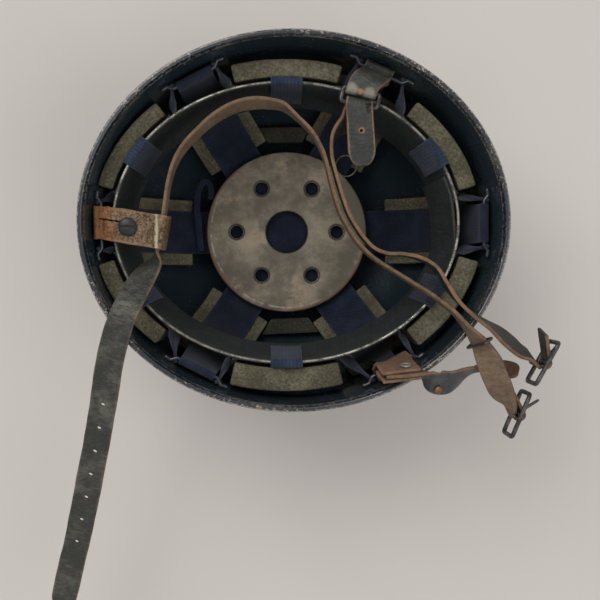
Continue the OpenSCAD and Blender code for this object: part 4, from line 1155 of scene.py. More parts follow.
@dataclass
class Shell(Part):
    """The pressed steel shell, its folded strip and the six wire brackets."""

    around: int = 240
    gap: float = 0.15  # between the wall and the strip
    metal: float = 0.9

    def skin(self, depth: float) -> Array:
        """Rings from the crown to the rim: share sin(f)^(2/p), drop cos(f)^(2/p), then the flared wall.

        Args:
            depth: Depth under the outer skin.

        Returns:
            The rings.
        """
        t = np.linspace(0, 360, self.around, endpoint=False)[None, :]
        f = np.radians(np.concatenate([[0.4, 1.5, 4, 8], np.linspace(12, 90, 34)]))[:, None]
        power = 2 / SHELL.dome_power
        height = SHELL.waist - (SHELL.waist - depth) * np.cos(f) ** power
        dome = SHELL.point(t, np.sin(f) ** power, height, depth)
        wall = SHELL.waist + SHELL.brim * np.linspace(0, 1, 15)[1:, None]
        return np.concatenate([dome, SHELL.point(t, 1.0, wall, depth)])

    def build_shell(self) -> None:
        """One closed skin: the outer rings, then the inner rings back down to the crown."""
        points = np.concatenate([self.skin(0.0), self.skin(SHELL.thickness)[::-1]])
        self.shop.hand_over(self.shop.grid("shell_enamelled", points), "shell", "enamel")

    def build_strip(self) -> None:
        """Folded strip: a rounded channel carried round the rim, with a rolled lip on the inner leg.

        The profile is pairs of depth into the wall and height over the rim, and worn says how far its
        paint is rubbed off at each of them. Its peaks on the crest and the lip are wear and also painted highlight
        lines.
        """
        gap, metal = self.gap, self.metal
        inner = SHELL.thickness + gap
        lip, half = inner + metal, (inner + gap) / 2 + metal
        a = np.radians(np.linspace(180, 0, 11))
        crest = np.stack([(inner - gap) / 2 + half * np.cos(a), gap + (gap + metal) * 0.95 * np.sin(a)], axis=-1)
        outer_leg = [(-gap, -5), (-gap - metal / 2, -5.05), (-gap - metal, -4.6)]
        inner_leg = [(lip, -3.2), (lip + 0.15, -3.9), (lip, -4.7), (inner + metal / 2, -5), (inner, -4.9)]
        profile = np.vstack([outer_leg, crest, inner_leg, [(inner, gap), (-gap, gap)]])
        # Bare metal on the crest and the lip: wear, and painted highlight lines along both bends
        worn = [0, 0, 0, 0.2, 0.7, 1, 0.6, 0.1, 0, 0, 0, 0.1, 0.4, 0.1, 0.3, 0.9, 0.3, 0, 0, 0, 0]
        t = np.linspace(0, 360, self.around * 2, endpoint=False)[:, None]
        into, over = profile[:, :1], profile[:, 1]
        ring = SHELL.point(t, 1.0, SHELL.depth + np.minimum(over, 0), 0.0) - into * SHELL.out(t)
        ring[..., 2] = SHELL.depth + over + np.where(over < -3, wobble(t * 3.1, 1.7, 0.12), 0)
        piece = self.shop.grid("rim_strip_steel", ring, closed=True, marks={"edge": worn})
        self.shop.hand_over(piece, "rim_edging", "strip")

    def build_brackets(self) -> None:
        """Each bracket is one wire: foot, leg, bar, leg, foot, with easy bends and pressed ends."""
        for k, name in enumerate(BRACKETS):
            half: list[list[Array]] = []
            for side in (-1, 1):
                e, f, g = SHELL.bar_end(k, side), SHELL.foot_point(k, side), SHELL.foot_point(k, side, SHELL.foot)
                bar = [e - q * side * SHELL.axes(k)[1] for q in (8, 3, 1.2)]
                leg = [mix(e, f, q) for q in (0.08, 0.35, 0.65, 0.93)]
                half.append([*bar, *leg, f + 1.2 * unit(g - f), g])
            path = route(np.array(half[0][::-1] + half[1]), 5)
            radii = np.full(len(path), SHELL.wire)
            pressed = [0.6, 1.2, 1.45]
            radii[:3], radii[-3:] = pressed, pressed[::-1]
            self.shop.hand_over(self.shop.tube(f"bracket_{name}_wire", path, radii), f"bracket_{name}", "bracket")

    def build(self) -> None:
        """Makes all of it."""
        self.build_shell()
        self.build_strip()
        self.build_brackets()


# ---------------------------------------------------------------- liner


@dataclass
class Liner(Part):
    """Headband, its wire, the slings and loops that carry it, and the pads behind it."""

    pad_depths: tuple[float, ...] = (12, 12, 10.5, 11.5, 15.5, 14)
    pad_height: float = 42.0
    pad_arc: float = 17.0  # half the arc that a pad covers, in degrees
    loop_width: float = 21.0

    def build_band(self) -> None:
        """Leather band: a strap section carried round the oval, its last 12 degrees inside its first."""
        t = np.linspace(8, 380, 300)
        step = np.clip((t - 350) / 12, 0, 1) * (BAND.thickness + SLACK)
        side = unit(BAND.at(t, -step, BAND.top) - BAND.at(t, -step, BAND.top - BAND.height))
        rows = rows_of(BAND.at(t, -step, BAND.top - BAND.height / 2), side, BAND.height * 1.022)
        band = self.shop.strap("headband_leather", rows, BAND.thickness, across=15, worn=0.12, seed=3.0)
        self.shop.hand_over(band, "headband", "band")
        ring = BAND.at(np.linspace(0, 360, 240, endpoint=False), 0.0, BAND.piping_z)
        wire = self.shop.tube("headband_wire_steel", ring, BAND.piping / 2, closed=True)
        self.shop.hand_over(wire, "headband_wire", "piping")

    def build_pads(self) -> None:
        """Foam pads. The fourth is a little shorter at the end beside the nape bracket."""
        for k, name in enumerate(PADS):
            piece = self.pad(f"rim_pad_{name}_foam", k, 0.8 if k == 3 else 0.0)
            self.shop.hand_over(piece, f"rim_pad_{name}", "foam")

    def pad(self, name: str, k: int, shorter: float) -> Piece:
        """One pad: its inner face follows the band and its outer face the wall.

        The section is a rounded rectangle of height and depth, written as core + corner like a strap's,
        and shrinks at both ends of the arc.

        Args:
            name: The object's name.
            k: Which pad, counted from the front right.
            shorter: Degrees by which the arc starts later and is shorter on each side.

        Returns:
            The pad.
        """
        r, depth, high = 1.4, self.pad_depths[k], self.pad_height / 2
        middle, inner = BAND.top - 2 - high, BAND.sling_offset + 1.5 * BAND.web + 0.9
        a = np.radians([0, 30, 60, 90])
        u_end, tip = 1 - (1 - np.sin(a)) * 0.045, (1 - np.cos(a)) * r
        u = np.concatenate([-u_end[::-1], np.linspace(-0.93, 0.93, 26), u_end])[:, None]
        corner = r - np.concatenate([tip[::-1], np.zeros(26), tip])[:, None]
        q, c, one = np.linspace(-1, 1, 12), np.radians([22, 45, 68]), np.ones(3)
        full, climb = np.ones(11), np.concatenate([-one, np.linspace(-1, 1, 5), one])
        swell = np.concatenate([np.sin(c), np.ones(5), np.sin(c[::-1])])
        swing = np.concatenate([-np.cos(c), np.zeros(5), np.cos(c[::-1])])
        sh, ch = np.concatenate([q, full, q[::-1], -full]), np.concatenate([0 * q, swell, 0 * q, -swell])
        sd, cd = (np.concatenate([0 * q - 1, part, 0 * q + 1, -part]) for part in (climb, swing))
        height = sh * (high - r) + ch * corner + middle
        out = sd * (depth / 2 - r) + cd * corner + depth / 2 + inner
        soft = wobble(np.arange(len(u))[:, None] * 5.0 + height, k, 0.25)
        draw = BAND.taper * (BAND.top - height) / BAND.height
        t = BAND.loops[k] + shorter + (self.pad_arc - shorter) * u
        points = SHELL.kept_in(BAND.at(t, out + draw + soft * 0.5, height))
        edge = np.clip(np.maximum(np.abs(ch * cd) * 2, np.abs(u) ** 12), 0, 1)
        return self.shop.grid(name, points, marks={"edge": edge})

    def sling_rows(self, k: int) -> Array:
        """Route of a sling: round one bracket's leg, behind the band, and round the next bracket's leg.

        Args:
            k: The bracket that it starts at.

        Returns:
            The rows.
        """
        edge = self.pad_arc + 2

        def end(j: int, s: int) -> Array:
            """Rows round the leg of bracket j on side s.

            Args:
                j: Which bracket.
                s: Which of its legs.

            Returns:
                The rows.
            """
            e, f = SHELL.bar_end(j, s), SHELL.foot_point(j, s)
            a, r = s * unit(f - e), SHELL.wire + SLACK + BAND.web / 2
            q = unit(np.cross(UP, a))
            inwards = q * np.sign(q @ SHELL.axes(j)[0])
            h = np.radians(np.arange(270, 89, -15))[:, None]
            return rows_of(mix(e, f, 0.32) + r * (np.cos(h) * inwards + np.sin(h) * UP), a, 2.4)

        def behind(turn: float, off: float) -> Array:
            """Row behind the band.

            Args:
                turn: Degrees from the loop.
                off: How far off the leather.

            Returns:
                The row.
            """
            t = BAND.loops[k] + turn
            down = unit(BAND.at(t, 0, BAND.top - BAND.height) - BAND.at(t, 0, BAND.top))
            return row(BAND.at(t, BAND.sling_offset + off, BAND.top - 10.5), down, 16)

        def lead(a: Array, p: Array) -> list[Array]:
            """Rows from a leg's row a to a band's row p."""
            near = row(mix(a[:3], p[:3], 0.65), unit(a[3:6] + p[3:6]), 8)
            return [a, row(mix(a[:3], p[:3], 0.3), a[3:6], 3), near, p]

        first, last = end(k, 1), end((k + 1) % 6, -1)
        turns = (1.6 - edge, 4 - edge, -10, -5, 0, 5, 10, edge - 4, edge - 1.6)
        middle = [behind(turn, off) for turn, off in zip(turns, (1, 0.3, 0.1, 0, 0, 0, 0.1, 0.3, 1))]
        middle = [*lead(first[0], behind(-edge, 2.4)), *middle, *lead(last[0], behind(edge, 2.4))[::-1]]
        return np.vstack([first[:0:-1], route(middle, 6), last[1:]])

    def build_slings(self) -> None:
        """The six slings."""
        for k, name in enumerate(PADS):
            piece = self.shop.strap(f"sling_{name}_webbing", self.sling_rows(k), BAND.web, ease=0.45, seed=k * 1.3)
            self.shop.hand_over(piece, f"sling_{name}", "sling")

    def build_loops(self) -> None:
        """Blue webbing folded over the band: a profile in the plane of out and up, carried along the band.

        The fold over the wire is a squarish arch, |cos|^0.55 wide and 3 sin^0.55 high.
        """
        out = BAND.sling_offset + BAND.web + 0.4
        into = BAND.thickness / 2 + 0.5 + BAND.web / 2
        crest = BAND.piping_z + BAND.piping / 2 + SLACK + BAND.web / 2
        a = np.radians(np.linspace(0, 180, 25))
        across = (out - into) / 2 + (out + into) / 2 * np.sign(np.cos(a)) * np.abs(np.cos(a)) ** 0.55
        arch = np.stack([across, crest - 3 + 3 * np.sin(a) ** 0.55], axis=-1)
        outer = [(out, BAND.top - z) for z in (24, 20, 16, 12, 8, 5)]
        inner = [(-into, BAND.top - z) for z in (5, 9, 14, 18, 22, 26, 30)]
        out, z = np.vstack([outer, arch, inner]).T
        for k, name in enumerate(PADS):
            t = BAND.loops[k]
            middle = BAND.at(t, 0, BAND.top)
            half = np.degrees(self.loop_width / 2 / np.linalg.norm(middle - [BAND.middle, 0, BAND.top]))
            side = unit(BAND.at(t + half, 0, BAND.top) - BAND.at(t - half, 0, BAND.top))
            rows = rows_of(BAND.at(t, out, z), side, self.loop_width + wobble(z * 4, k * 2.1, 0.35))
            name = f"loop_{name}"
            piece = self.shop.strap(f"{name}_webbing", rows, BAND.web, ease=0.45, across=11, worn=0.15, seed=k + 0.4)
            self.shop.reshape(piece, partial(self.bent, t=t))
            self.shop.hand_over(piece, name, "loops")

    @staticmethod
    def bent(p: Array, t: float) -> Array:
        """Points of a straight loop bent to the band: a point u along the loop falls inwards by u^2 / 2R.

        Args:
            p: The points.
            t: The loop's angle in degrees.

        Returns:
            The points, bent.
        """
        o, c = BAND.out(t), np.radians(t)
        a, b = BAND.length / 2, BAND.width / 2
        radius = (a * a * np.sin(c) ** 2 + b * b * np.cos(c) ** 2) ** 1.5 / (a * b)
        u = (p - BAND.at(t, 0, BAND.top)) @ np.array([-o[1], o[0], 0])
        return p - (u**2 / (2 * radius))[:, None] * o

    def build(self) -> None:
        """Makes all of it."""
        self.build_band()
        self.build_pads()
        self.build_slings()
        self.build_loops()


# ---------------------------------------------------------------- crown


@dataclass
class Crown(Part):
    """Crown straps, the foam under them, the disc, the pull loop and the wire ring."""

    step: float = CROWN + 0.2  # how far one strap lies over the next where they cross
    width: float = 32.0
    narrow: tuple[float, ...] = (26, 12, 26, 12, 26, 12)
    foam: float = 8.5  # thickness of the pads under the straps
    foam_width: float = 50.0
    bridge: float = 7.0
    backing: float = 3.5
    facing: float = 3.0
    dish: float = 1.1
    # Share of the way from the hub to the bracket, and height
    profile: tuple[tuple[float, float], ...] = (
        (0.955, 122), (0.94, 108), (0.928, 92), (0.9, 78), (0.843, 63),
        (0.762, 50), (0.68, 42), (0.583, 36.2), (0.47, 34.2), (0.36, 34),
    )  # fmt: skip

    @staticmethod
    def run(k: int) -> tuple[Array, float]:
        """Level direction and distance from the hub to bracket k."""
        way = (SHELL.from_bar(k, (0, 0, 0)) - HUB) * [1, 1, 0]
        return unit(way), float(np.linalg.norm(way))

    def half(self, k: int, s: int) -> Array:
        """Rows of half a crown strap, from its bracket to the hub.

        Args:
            k: Which bracket.
            s: 1 or -1, which way the width direction points.

        Returns:
            The rows.
        """
        share, z = np.array(self.profile).T
        z = z + np.where(z < 80, self.step * (k % 3), 0)
        d, reach = self.run(k)
        place = HUB * [1, 1, 0] + (share * (reach - WRAP_WEB))[:, None] * d + z[:, None] * UP
        width = np.full(len(z), self.width)
        width[:2] = self.narrow[k] + 2, (self.narrow[k] + self.width) / 2
        return rows_of(place, s * np.array([-d[1], d[0], 0]), width)

    def end(self, k: int, s: int) -> Array:
        """Rows from the sewn hem over the bar and down to the hub.

        Args:
            k: Which bracket.
            s: 1 or -1, which way the width direction points.

        Returns:
            The rows.
        """
        side, w = s * SHELL.axes(k)[1], self.narrow[k]
        hem = [row(SHELL.from_bar(k, p), side, w) for p in ((0.2, 0, -24), (-1.6, 0, -14), (-WRAP_WEB, 0, -5))]
        wrap = bar_wrap(k, WRAP_WEB, 180, 0, 0, w, 12)
        wrap[:, 3:6] = side
        start = row(SHELL.from_bar(k, (WRAP_WEB, 0, -5)), side, w)
        return np.vstack([route(hem, 3), wrap, route(np.vstack([start, self.half(k, s)]), 5)])

    def build_straps(self) -> None:
        """The three straps, each from bar to bar across the hub."""
        for k, name in enumerate(("lengthwise", "lower", "upper")):
            rows, name = np.vstack([self.end(k, 1), self.end(k + 3, -1)[::-1]]), f"crown_strap_{name}"
            piece = self.shop.strap(f"{name}_webbing", rows, CROWN, ease=0.42, across=13, worn=0.15, seed=k + 5.0)
            self.shop.hand_over(piece, name, "crown")

    def build_pads(self) -> None:
        """Foam under each half strap: the strap's own rows, widened and dropped behind it."""
        for k, name in enumerate(BRACKETS):
            rows = route(self.half(k, 1)[1:8], 6)[6:]
            run = unit(steps_of(rows[:, :3]))
            side = square_to(rows[:, 3:6], run)
            up = np.cross(run, side)
            up = up * np.where(up[:, 2:] < 0, -1, 1)
            rows = rows_of(rows[:, :3] - up * (CROWN / 2 + SLACK + self.foam / 2), side, self.foam_width)
            name = f"strap_pad_{name}"
            piece = self.shop.strap(f"{name}_foam", rows, self.foam, ease=0.17, across=15, worn=0.2, seed=k + 2.0)
            self.shop.reshape(piece, SHELL.kept_in)
            self.shop.hand_over(piece, name, "foam")

    def build_bridges(self) -> None:
        """Foam between two pads' sides: a level block whose ends are 25.4 mm off the straps' middles."""
        for k, s, name in ((1, 1, "right"), (4, -1, "left")):
            y = s * np.linspace(67.4, 79.3, 14)
            ends = ((self.run(k)[0], -25.4), (self.run(k + 1)[0], 25.4))
            a, b = (HUB[0] + (d[0] * (y - HUB[1]) + off) / d[1] for d, off in ends)
            rows = rows_of(np.stack([(a + b) / 2, y, 0 * y + 32], axis=-1), (1, 0, 0), np.abs(a - b))
            piece = self.shop.strap(f"bridge_pad_{name}_foam", rows, self.bridge, ease=0.15)
            # Their finish is the foam darkened as painted shade
            self.shop.hand_over(piece, f"bridge_pad_{name}", "bridge")

    def plate(self, name: str, z: float, radius: float, height: float, dish: float) -> Piece:
        """Round plate with a middle hole and six vents.

        The top is a polar grid whose height sinks beside each hole by dish times exp(-(gap / 1.5)^2).

        Args:
            name: The object's name.
            z: Height of the lower face.
            radius: Outer radius.
            height: Thickness.
            dish: How far the face sinks beside the holes.

        Returns:
            The plate.
        """
        ease, a = 0.9, np.radians([0, 30, 60, 90])
        bevel, rise = ease * (1 - np.cos(a)), height - ease * (1 - np.sin(a))
        top = np.linspace(radius - ease, DISC_HOLE_R + ease, 44)[1:-1]
        r = np.concatenate([radius - bevel, top, DISC_HOLE_R + bevel[::-1], np.linspace(DISC_HOLE_R, radius, 8)])
        high = np.concatenate([rise, np.full(42, height), rise[::-1], np.zeros(8)])
        t = np.linspace(0, 2 * np.pi, 288, endpoint=False)[:, None]
        x, y = r * np.cos(t), r * np.sin(t)
        vents = [VENT_R * heading(60 * k) for k in range(6)]
        pit = sum(np.exp(-(((np.hypot(x - v[0], y - v[1]) - VENT_HOLE_R) / 1.5) ** 2)) for v in vents)
        pit = pit + 0.6 * np.exp(-(((r - DISC_HOLE_R) / 1.4) ** 2))
        uneven = wobble(x * 3, 1.0, 0.18) + wobble(y * 3, 4.0, 0.18)
        height_all = z + high + np.where(high > height * 0.6, uneven * 0.5 - dish * pit * 0.8 - 0.15, 0)
        points = np.stack([HUB[0] + x, HUB[1] + y, height_all], axis=-1)
        piece = self.shop.grid(name, points, closed=True, marks={"pit": pit, "edge": 0, "rim": 0, "face": 1})
        middle = np.array([HUB[0], HUB[1], z + 2])
        self.shop.cut(piece, *(self.shop.drill(middle + v, UP, VENT_HOLE_R, 9.0) for v in vents))
        return piece

    def build_disc(self) -> None:
        """Backing and facing."""
        low = HUB[2] + 2.5 * self.step + 1
        backing = self.plate("disc_backing_leather", low, DISC_R - 0.8, self.backing, 0.0)
        self.shop.hand_over(backing, "disc_backing", "backing")
        facing = self.plate("disc_facing_leather", low + self.backing, DISC_R, self.facing, self.dish)
        self.shop.hand_over(facing, "disc_facing", "disc")

    def build_pull(self) -> None:
        """The small blue loop beside the disc."""
        p = np.array(
            [
                [-68.4, -16, 40.5], [-69.6, -6, 41.5], [-70.8, 6, 43], [-71.4, 18, 44.5], [-70.6, 28, 45.5],
                [-67, 35.5, 46], [-62.8, 35.6, 45.5], [-60.9, 30, 44.5], [-61.6, 23, 42.5],
            ]
        )  # fmt: skip
        side = unit(np.cross(UP, steps_of(p)))
        piece = self.shop.strap("pull_loop_webbing", route(rows_of(p, side, 4.4), 8), 1.4, ease=0.45, worn=0.2)
        self.shop.hand_over(piece, "pull_loop", "crown")

    def build_ring(self) -> None:
        """Wire ring lying on a crown strap."""
        rows = self.half(1, 1)
        t = unit(rows[8, :3] - rows[6, :3])
        w = square_to(rows[7, 3:6], t)
        f = np.cross(t, w)
        c = rows[7, :3] + 12.6 * np.sign(w[0]) * w + (CROWN / 2 + 1.7) * np.sign(f[2]) * f
        a = np.linspace(0, 2 * np.pi, 60, endpoint=False)[:, None]
        piece = self.shop.tube("crown_ring_steel", c + 8 * (np.cos(a) * t + np.sin(a) * w), 0.7, closed=True)
        self.shop.hand_over(piece, "crown_ring", "brass")

    def build(self) -> None:
        """Makes all of it."""
        self.build_straps()
        self.build_pads()
        self.build_bridges()
        self.build_disc()
        self.build_pull()
        self.build_ring()


# ---------------------------------------------------------------- harness


def spread(stations: Sequence[Sequence[float]], side: Sequence[float] = (0, 0, 1)) -> Array:
    """Given stations as rows.

    Args:
        stations: X, Y and Z, then a width direction and a width where they are not the usual ones.
        side: The usual width direction. The usual width is the strap's.

    Returns:
        The rows of seven numbers.
    """
    usual = (*side, STRAP_WIDTH)
    return np.array([(*s, *usual[len(s) - 3 :]) for s in stations], float)


def fold(c: Place, start: float, end: float, sense: int, steps: int) -> Array:
    """Rows round a buckle's upright bar, from the heading in to the heading out.

    Args:
        c: Middle of the bar.
        start: Heading in, in degrees.
        end: Heading out.
        sense: 1 or -1, the width direction up or down.
        steps: How many steps the bend has.

    Returns:
        The rows.
    """
    turns = np.linspace(start - 90, end - 90, steps + 1)
    return np.array([row(c + WRAP_STRAP * heading(a), (0, 0, sense), STRAP_WIDTH) for a in turns])


def leave(c: Place, turn: float, reach: float, sense: int, rise: float) -> Array:
    """A row that runs straight on from a fold."""
    return row(c + WRAP_STRAP * heading(turn - 90) + reach * heading(turn) + rise * UP, (0, 0, sense), STRAP_WIDTH)


@dataclass
class Hardware(Part):
    """Wire frames, prongs and the keeper, each bent from round wire."""

    length: float = 33.0  # of a buckle's frame over all
    gap: float = 21.5  # inside the frame, along its bar

    def loop(self, node: str, corners: Array, r: float, bend: float) -> None:
        """Closed wire through corners: each corner is a quarter turn of radius bend.

        Args:
            node: The CAD node it stands for.
            corners: The corner points, in order.
            r: The wire's radius.
            bend: Radius of the bends.
        """
        self.shop.hand_over(self.shop.tube(f"{node}_wire", self.bent(corners, bend), r, closed=True), node, "wire")

    @staticmethod
    def bent(corners: Array, bend: float) -> Array:
        """Points of a closed route whose corners are eased: (1-t)^2 a + 2t(1-t) p + t^2 b at each corner p.

        Args:
            corners: The corner points, in order.
            bend: Where the easing starts, from the corner.

        Returns:
            The points.
        """
        out: list[Array] = []
        for p, before, after in zip(corners, np.roll(corners, 1, 0), np.roll(corners, -1, 0)):
            a, b, far = p + bend * unit(before - p), p + bend * unit(after - p), after + bend * unit(p - after)
            t = np.linspace(0, 1, 8)[:, None]
            out += [(1 - t) ** 2 * a + 2 * t * (1 - t) * p + t**2 * b, mix(b, far, np.array([[0.25], [0.5], [0.75]]))]
        return np.vstack(out)

    def frame(self, node: str, c: Place, turn: float) -> None:
        """Buckle frame with its middle bar, on its long side, as one object.

        Args:
            node: The CAD node it stands for.
            c: Middle of its bar.
            turn: Heading of its long side in degrees.
        """
        e, z = (self.length / 2 - WIRE) * heading(turn), (self.gap / 2 + WIRE) * UP
        path = self.bent(np.array([c - e - z, c + e - z, c + e + z, c - e + z]), 3.0)
        ring = self.shop.tube(f"{node}_wire", path, WIRE, closed=True)
        bar = self.shop.tube(f"{node}_bar", c + np.linspace(-1, 1, 9)[:, None] * z, WIRE)
        bpy.ops.object.select_all(action="DESELECT")
        for piece in (ring, bar):
            piece.select_set(True)
        bpy.context.view_layer.objects.active = ring
        bpy.ops.object.join()
        self.shop.hand_over(ring, node, "wire")

    def prong(self, node: str, c: Place, turn: float) -> None:
        """Prong: a wire that is coiled round the bar once and runs out to the frame, thinner at its tip.

        Args:
            node: The CAD node it stands for.
            c: Middle of the bar.
            turn: Heading of the prong in degrees.
        """
        e, f, eye = heading(turn), heading(turn + 90), WIRE + SLACK + PRONG
        a = np.linspace(-2.75 * np.pi / 1.5, 0.12, 26)[:, None]
        coil = c + eye * (np.cos(a) * e + np.sin(a) * f) + np.linspace(-0.35, 0.2, 26)[:, None] * UP
        s, start = np.linspace(0, 1, 14)[:, None], eye + 0.9
        out = c + (start + (self.length / 2 + 0.8 - start) * s) * e + 0.3 * s * UP
        radii = np.concatenate([np.full(26, PRONG), np.linspace(1.15, PRONG, 14)])
        radii[[0, -2, -1]] = 0.5, 0.85, 0.45
        self.shop.hand_over(self.shop.tube(f"{node}_wire", np.vstack([coil, out]), radii), node, "wire")


@dataclass
class NapeTab(Part):
    """Brown tab round the nape bracket, with its stud."""

    skew: float = 0.19
    stud_u: float = 19.0
    stud_w: float = 9.0
    width: float = 22.0
    pile: float = TAB + SLACK  # from one layer to the next

    def middle(self, u: float) -> float:
        """Where the tab's middle lies along the bar, u inwards of it."""
        return -1.8 + self.skew * u

    def rows(self, places: Sequence[tuple[float, float]]) -> Array:
        """Rows of the tab.

        Args:
            places: Pairs of inwards and up.

        Returns:
            The rows.
        """
        inwards, along = SHELL.axes(3)
        u, w = np.array(places).T
        place = np.array([SHELL.from_bar(3, (q, self.middle(q), h)) for q, h in zip(u, w)])
        side = unit(along - self.skew * np.clip((u - 4) / 12, 0, 1)[:, None] * inwards)
        return rows_of(place, side, self.width)

    def build_tab(self) -> None:
        """The tab is one strip: under the stud, round the bar, out over the strap, back under it."""
        u, w, high = self.stud_u, self.stud_w, self.stud_w + self.pile
        inner = [(u + 3.5, w), (u, w), (13, w - 0.3), (9, w - 1.3), (6.1, 4.7)]
        wrap = bar_wrap(3, WRAP_TAB, -15, -260, self.middle(0), self.width, 20)
        top = [(1.6, 6.2), (5, 9.2), (9, 10.8), (12.6, high), (u + 6.4, high), (29.5, high + 1.6), (33.5, high + 4)]
        turn = [(36.8, 17.2), (38.4, 18.3), (40.3, 18.6), (42.2, 17.8), (43.4, 15.5), (43.8, 11), (43.8, 4)]
        turn += [(43.4, -0.5), (42, -3.2), (40, -4), (38, -3.2)]
        back = [(35.5, -0.6), (31, 3.2), (26, 5.8), (u + 4, w - self.pile), (u - 4, w - self.pile)]
        rows = np.vstack([route(self.rows(inner), 4), wrap, route(self.rows(top + turn + back), 4)])
        piece = self.shop.strap("nape_tab_leather", rows, TAB, across=13, worn=0.4, seed=1.1)
        hole = self.shop.drill(SHELL.from_bar(3, (u, self.middle(u), 10)), UP, 2.3, 10)
        inwards, along = SHELL.axes(3)
        corner = SHELL.from_bar(3, (-2, self.middle(0) - 3.2, 4.5))
        slit = self.shop.block(corner, 19 * unit(inwards + self.skew * along), along, 9 * UP)
        self.shop.cut(piece, hole, self.shop.bar_window(3), slit)
        self.shop.hand_over(piece, "nape_tab", "brown")

    def build_stud(self) -> None:
        """Slotted stud: foot, shank and a domed head with a slot."""
        foot = SHELL.from_bar(3, (self.stud_u, self.middle(self.stud_u), self.stud_w - self.pile - TAB / 2 - 1.3))
        z = 2 * self.pile + TAB + 1.6
        a = np.radians(np.linspace(0, 86, 10))
        dome = np.stack([6.0 * np.cos(a), z + 0.9 + 1.7 * np.sin(a)], axis=-1)
        base = [(0.05, 0), (4.3, 0), (4.5, 0.2), (4.5, 0.8), (4.3, 1.0)]
        shank = [(2.0, 1.0), (2.0, z), (5.6, z), (6.0, z + 0.3)]
        stud = self.shop.lathe("nape_stud_black", foot, UP, [*base, *shank, *dome, (0.05, z + 2.6)], 48)
        corner, x, y = foot + [-7, -0.7, z + 1.3], heading(0), heading(90)
        self.shop.cut(stud, self.shop.block(corner, 14 * x, 1.4 * y, 3 * UP))
        self.shop.hand_over(stud, "nape_stud", "stud")

    def build(self) -> None:
        """Makes the tab and the stud."""
        self.build_tab()
        self.build_stud()


@dataclass
class ChinStrap(Part):
    """The long strap from the tail's tip, over the nape and past the right side to its buckle."""

    bar: Triple = (146.5, -126.0, 156.0)  # middle of the buckle's bar
    flat: Triple = (0.96, -0.28, 0.0)  # width direction of the tail
    holes: int = 7
    # The two stations that the keeper lies between
    kept: tuple[tuple[float, ...], ...] = ((115, -75, 178.5, 0.3, 0.1, 0.93), (119.5, -81.5, 178, 0.48, 0.2, 0.86))

    def rows(self) -> Array:
        """The strap's stations, eased, and its fold round the buckle's bar.

        Returns:
            The rows.
        """
        tail = [
            (-164, -274, 97, *self.flat, 5), (-162, -267, 99.5, *self.flat, 13), (-161, -261, 102, *self.flat, 17.5),
            (-155, -238, 109), (-149, -216, 116), (-140, -181, 128), (-131, -143, 141.5), (-124, -112, 154),
            (-118.5, -88, 165), (-113.5, -72, 172, 0.94, -0.27, 0.08), (-109, -59.5, 173.5, 0.94, -0.27, 0.12),
            (-104, -48, 167, 0.93, -0.26, 0.2), (-98.5, -37, 159, 0.88, -0.25, 0.4),
            (-93.5, -28, 152, 0.65, -0.16, 0.74), (-90.6, -20.5, 149.4, 0.12, 0, 0.99),
        ]  # fmt: skip
        arc = [
            (-88.1, -8, 149), (-85.7, 4.5, 149), (-84.5, 13, 148.5), (-83, 25, 146),
            (-79.5, 38, 144, -0.03, 0.03, 1), (-72.5, 50, 144.5, -0.07, 0.065, 0.99),
            (-60.5, 62, 147, -0.08, 0.1, 0.99), (-49.5, 70, 150, -0.07, 0.17, 0.98),
            (-38, 75.5, 152, -0.05, 0.22, 0.97), (-27, 78, 151, 0, 0.24, 0.97), (-16, 78, 148, 0.04, 0.18, 0.98),
            (-6, 76, 144, 0.04, 0.08, 0.99), (3, 68.8, 143), (10.5, 61.5, 142.5),
            (16, 53.5, 142), (20, 44.5, 141.5), (22.6, 35, 141), (25, 25, 141), (27.6, 15.5, 141), (31, 6, 141),
            (35.8, -3, 141), (42, -12.5, 141.5), (49, -20, 142.5), (56.5, -26, 144), (65.5, -32, 147),
            (76, -39, 152.5), (90, -49, 165), (101, -58.5, 174), (109, -68, 178, 0.1, 0, 0.97), *self.kept,
            (124, -90, 176, 0.7, 0.3, 0.6), (128, -99, 172.5, 0.75, 0.3, 0.55), (132.5, -107.5, 167, 0.7, 0.28, 0.62),
            (137, -115.5, 161.5, 0.5, 0.2, 0.82),
        ]  # fmt: skip
        rows = np.vstack([spread(tail, self.flat), spread(arc), leave(self.bar, -63, -5, 1, 1.2)])
        ends = [leave(self.bar, 117, reach, 1, 0) for reach in (8, 15)]
        return np.vstack([route(rows, 8), fold(self.bar, -63, 117, 1, 20), ends])

    def build_strap(self) -> None:
        """Makes the strap, punches its tail and cuts the prong's slot."""
        rows = self.rows()
        length = length_of(rows)
        cutters = []
        for s in 60 + 18 * np.arange(self.holes):
            p, q = np.stack([np.interp([s - 2, s + 2], length, column) for column in rows[:, :3].T], axis=-1)
            t = unit(q - p)
            cutters.append(self.shop.drill((p + q) / 2, np.cross(t, square_to(np.array(self.flat), t)), 1.5, 3))
        piece = self.shop.strap("chin_strap_leather", rows, STRAP, across=11, worn=0.22, seed=0.7)
        self.shop.cut(piece, *cutters, self.shop.slot(self.bar, 67))
        self.shop.hand_over(piece, "chin_strap", "chin")

    def build_keeper(self, wire: Hardware) -> None:
        """Wire keeper round both layers of the chin strap.

        Args:
            wire: Bends the wire.
        """
        rows = spread(self.kept)
        t = unit(rows[1, :3] - rows[0, :3])
        w = unit(np.sum([r[3:6] - t * (r[3:6] @ t) for r in rows], axis=0))
        a, b = (STRAP_WIDTH / 2 + 1.7) * w, (STRAP / 2 + 1.8) * np.cross(t, w)
        p = (rows[0, :3] + rows[1, :3]) / 2
        wire.loop("chin_keeper", np.array([p + a + b, p - a + b, p - a - b, p + a - b]), 1.0, 1.2)

    def build(self) -> None:
        """Makes the strap, the keeper and the buckle."""
        wire = Hardware(self.shop)
        self.build_strap()
        self.build_keeper(wire)
        wire.frame("chin_buckle", self.bar, 67)
        wire.prong("chin_prong", self.bar, 31.5)


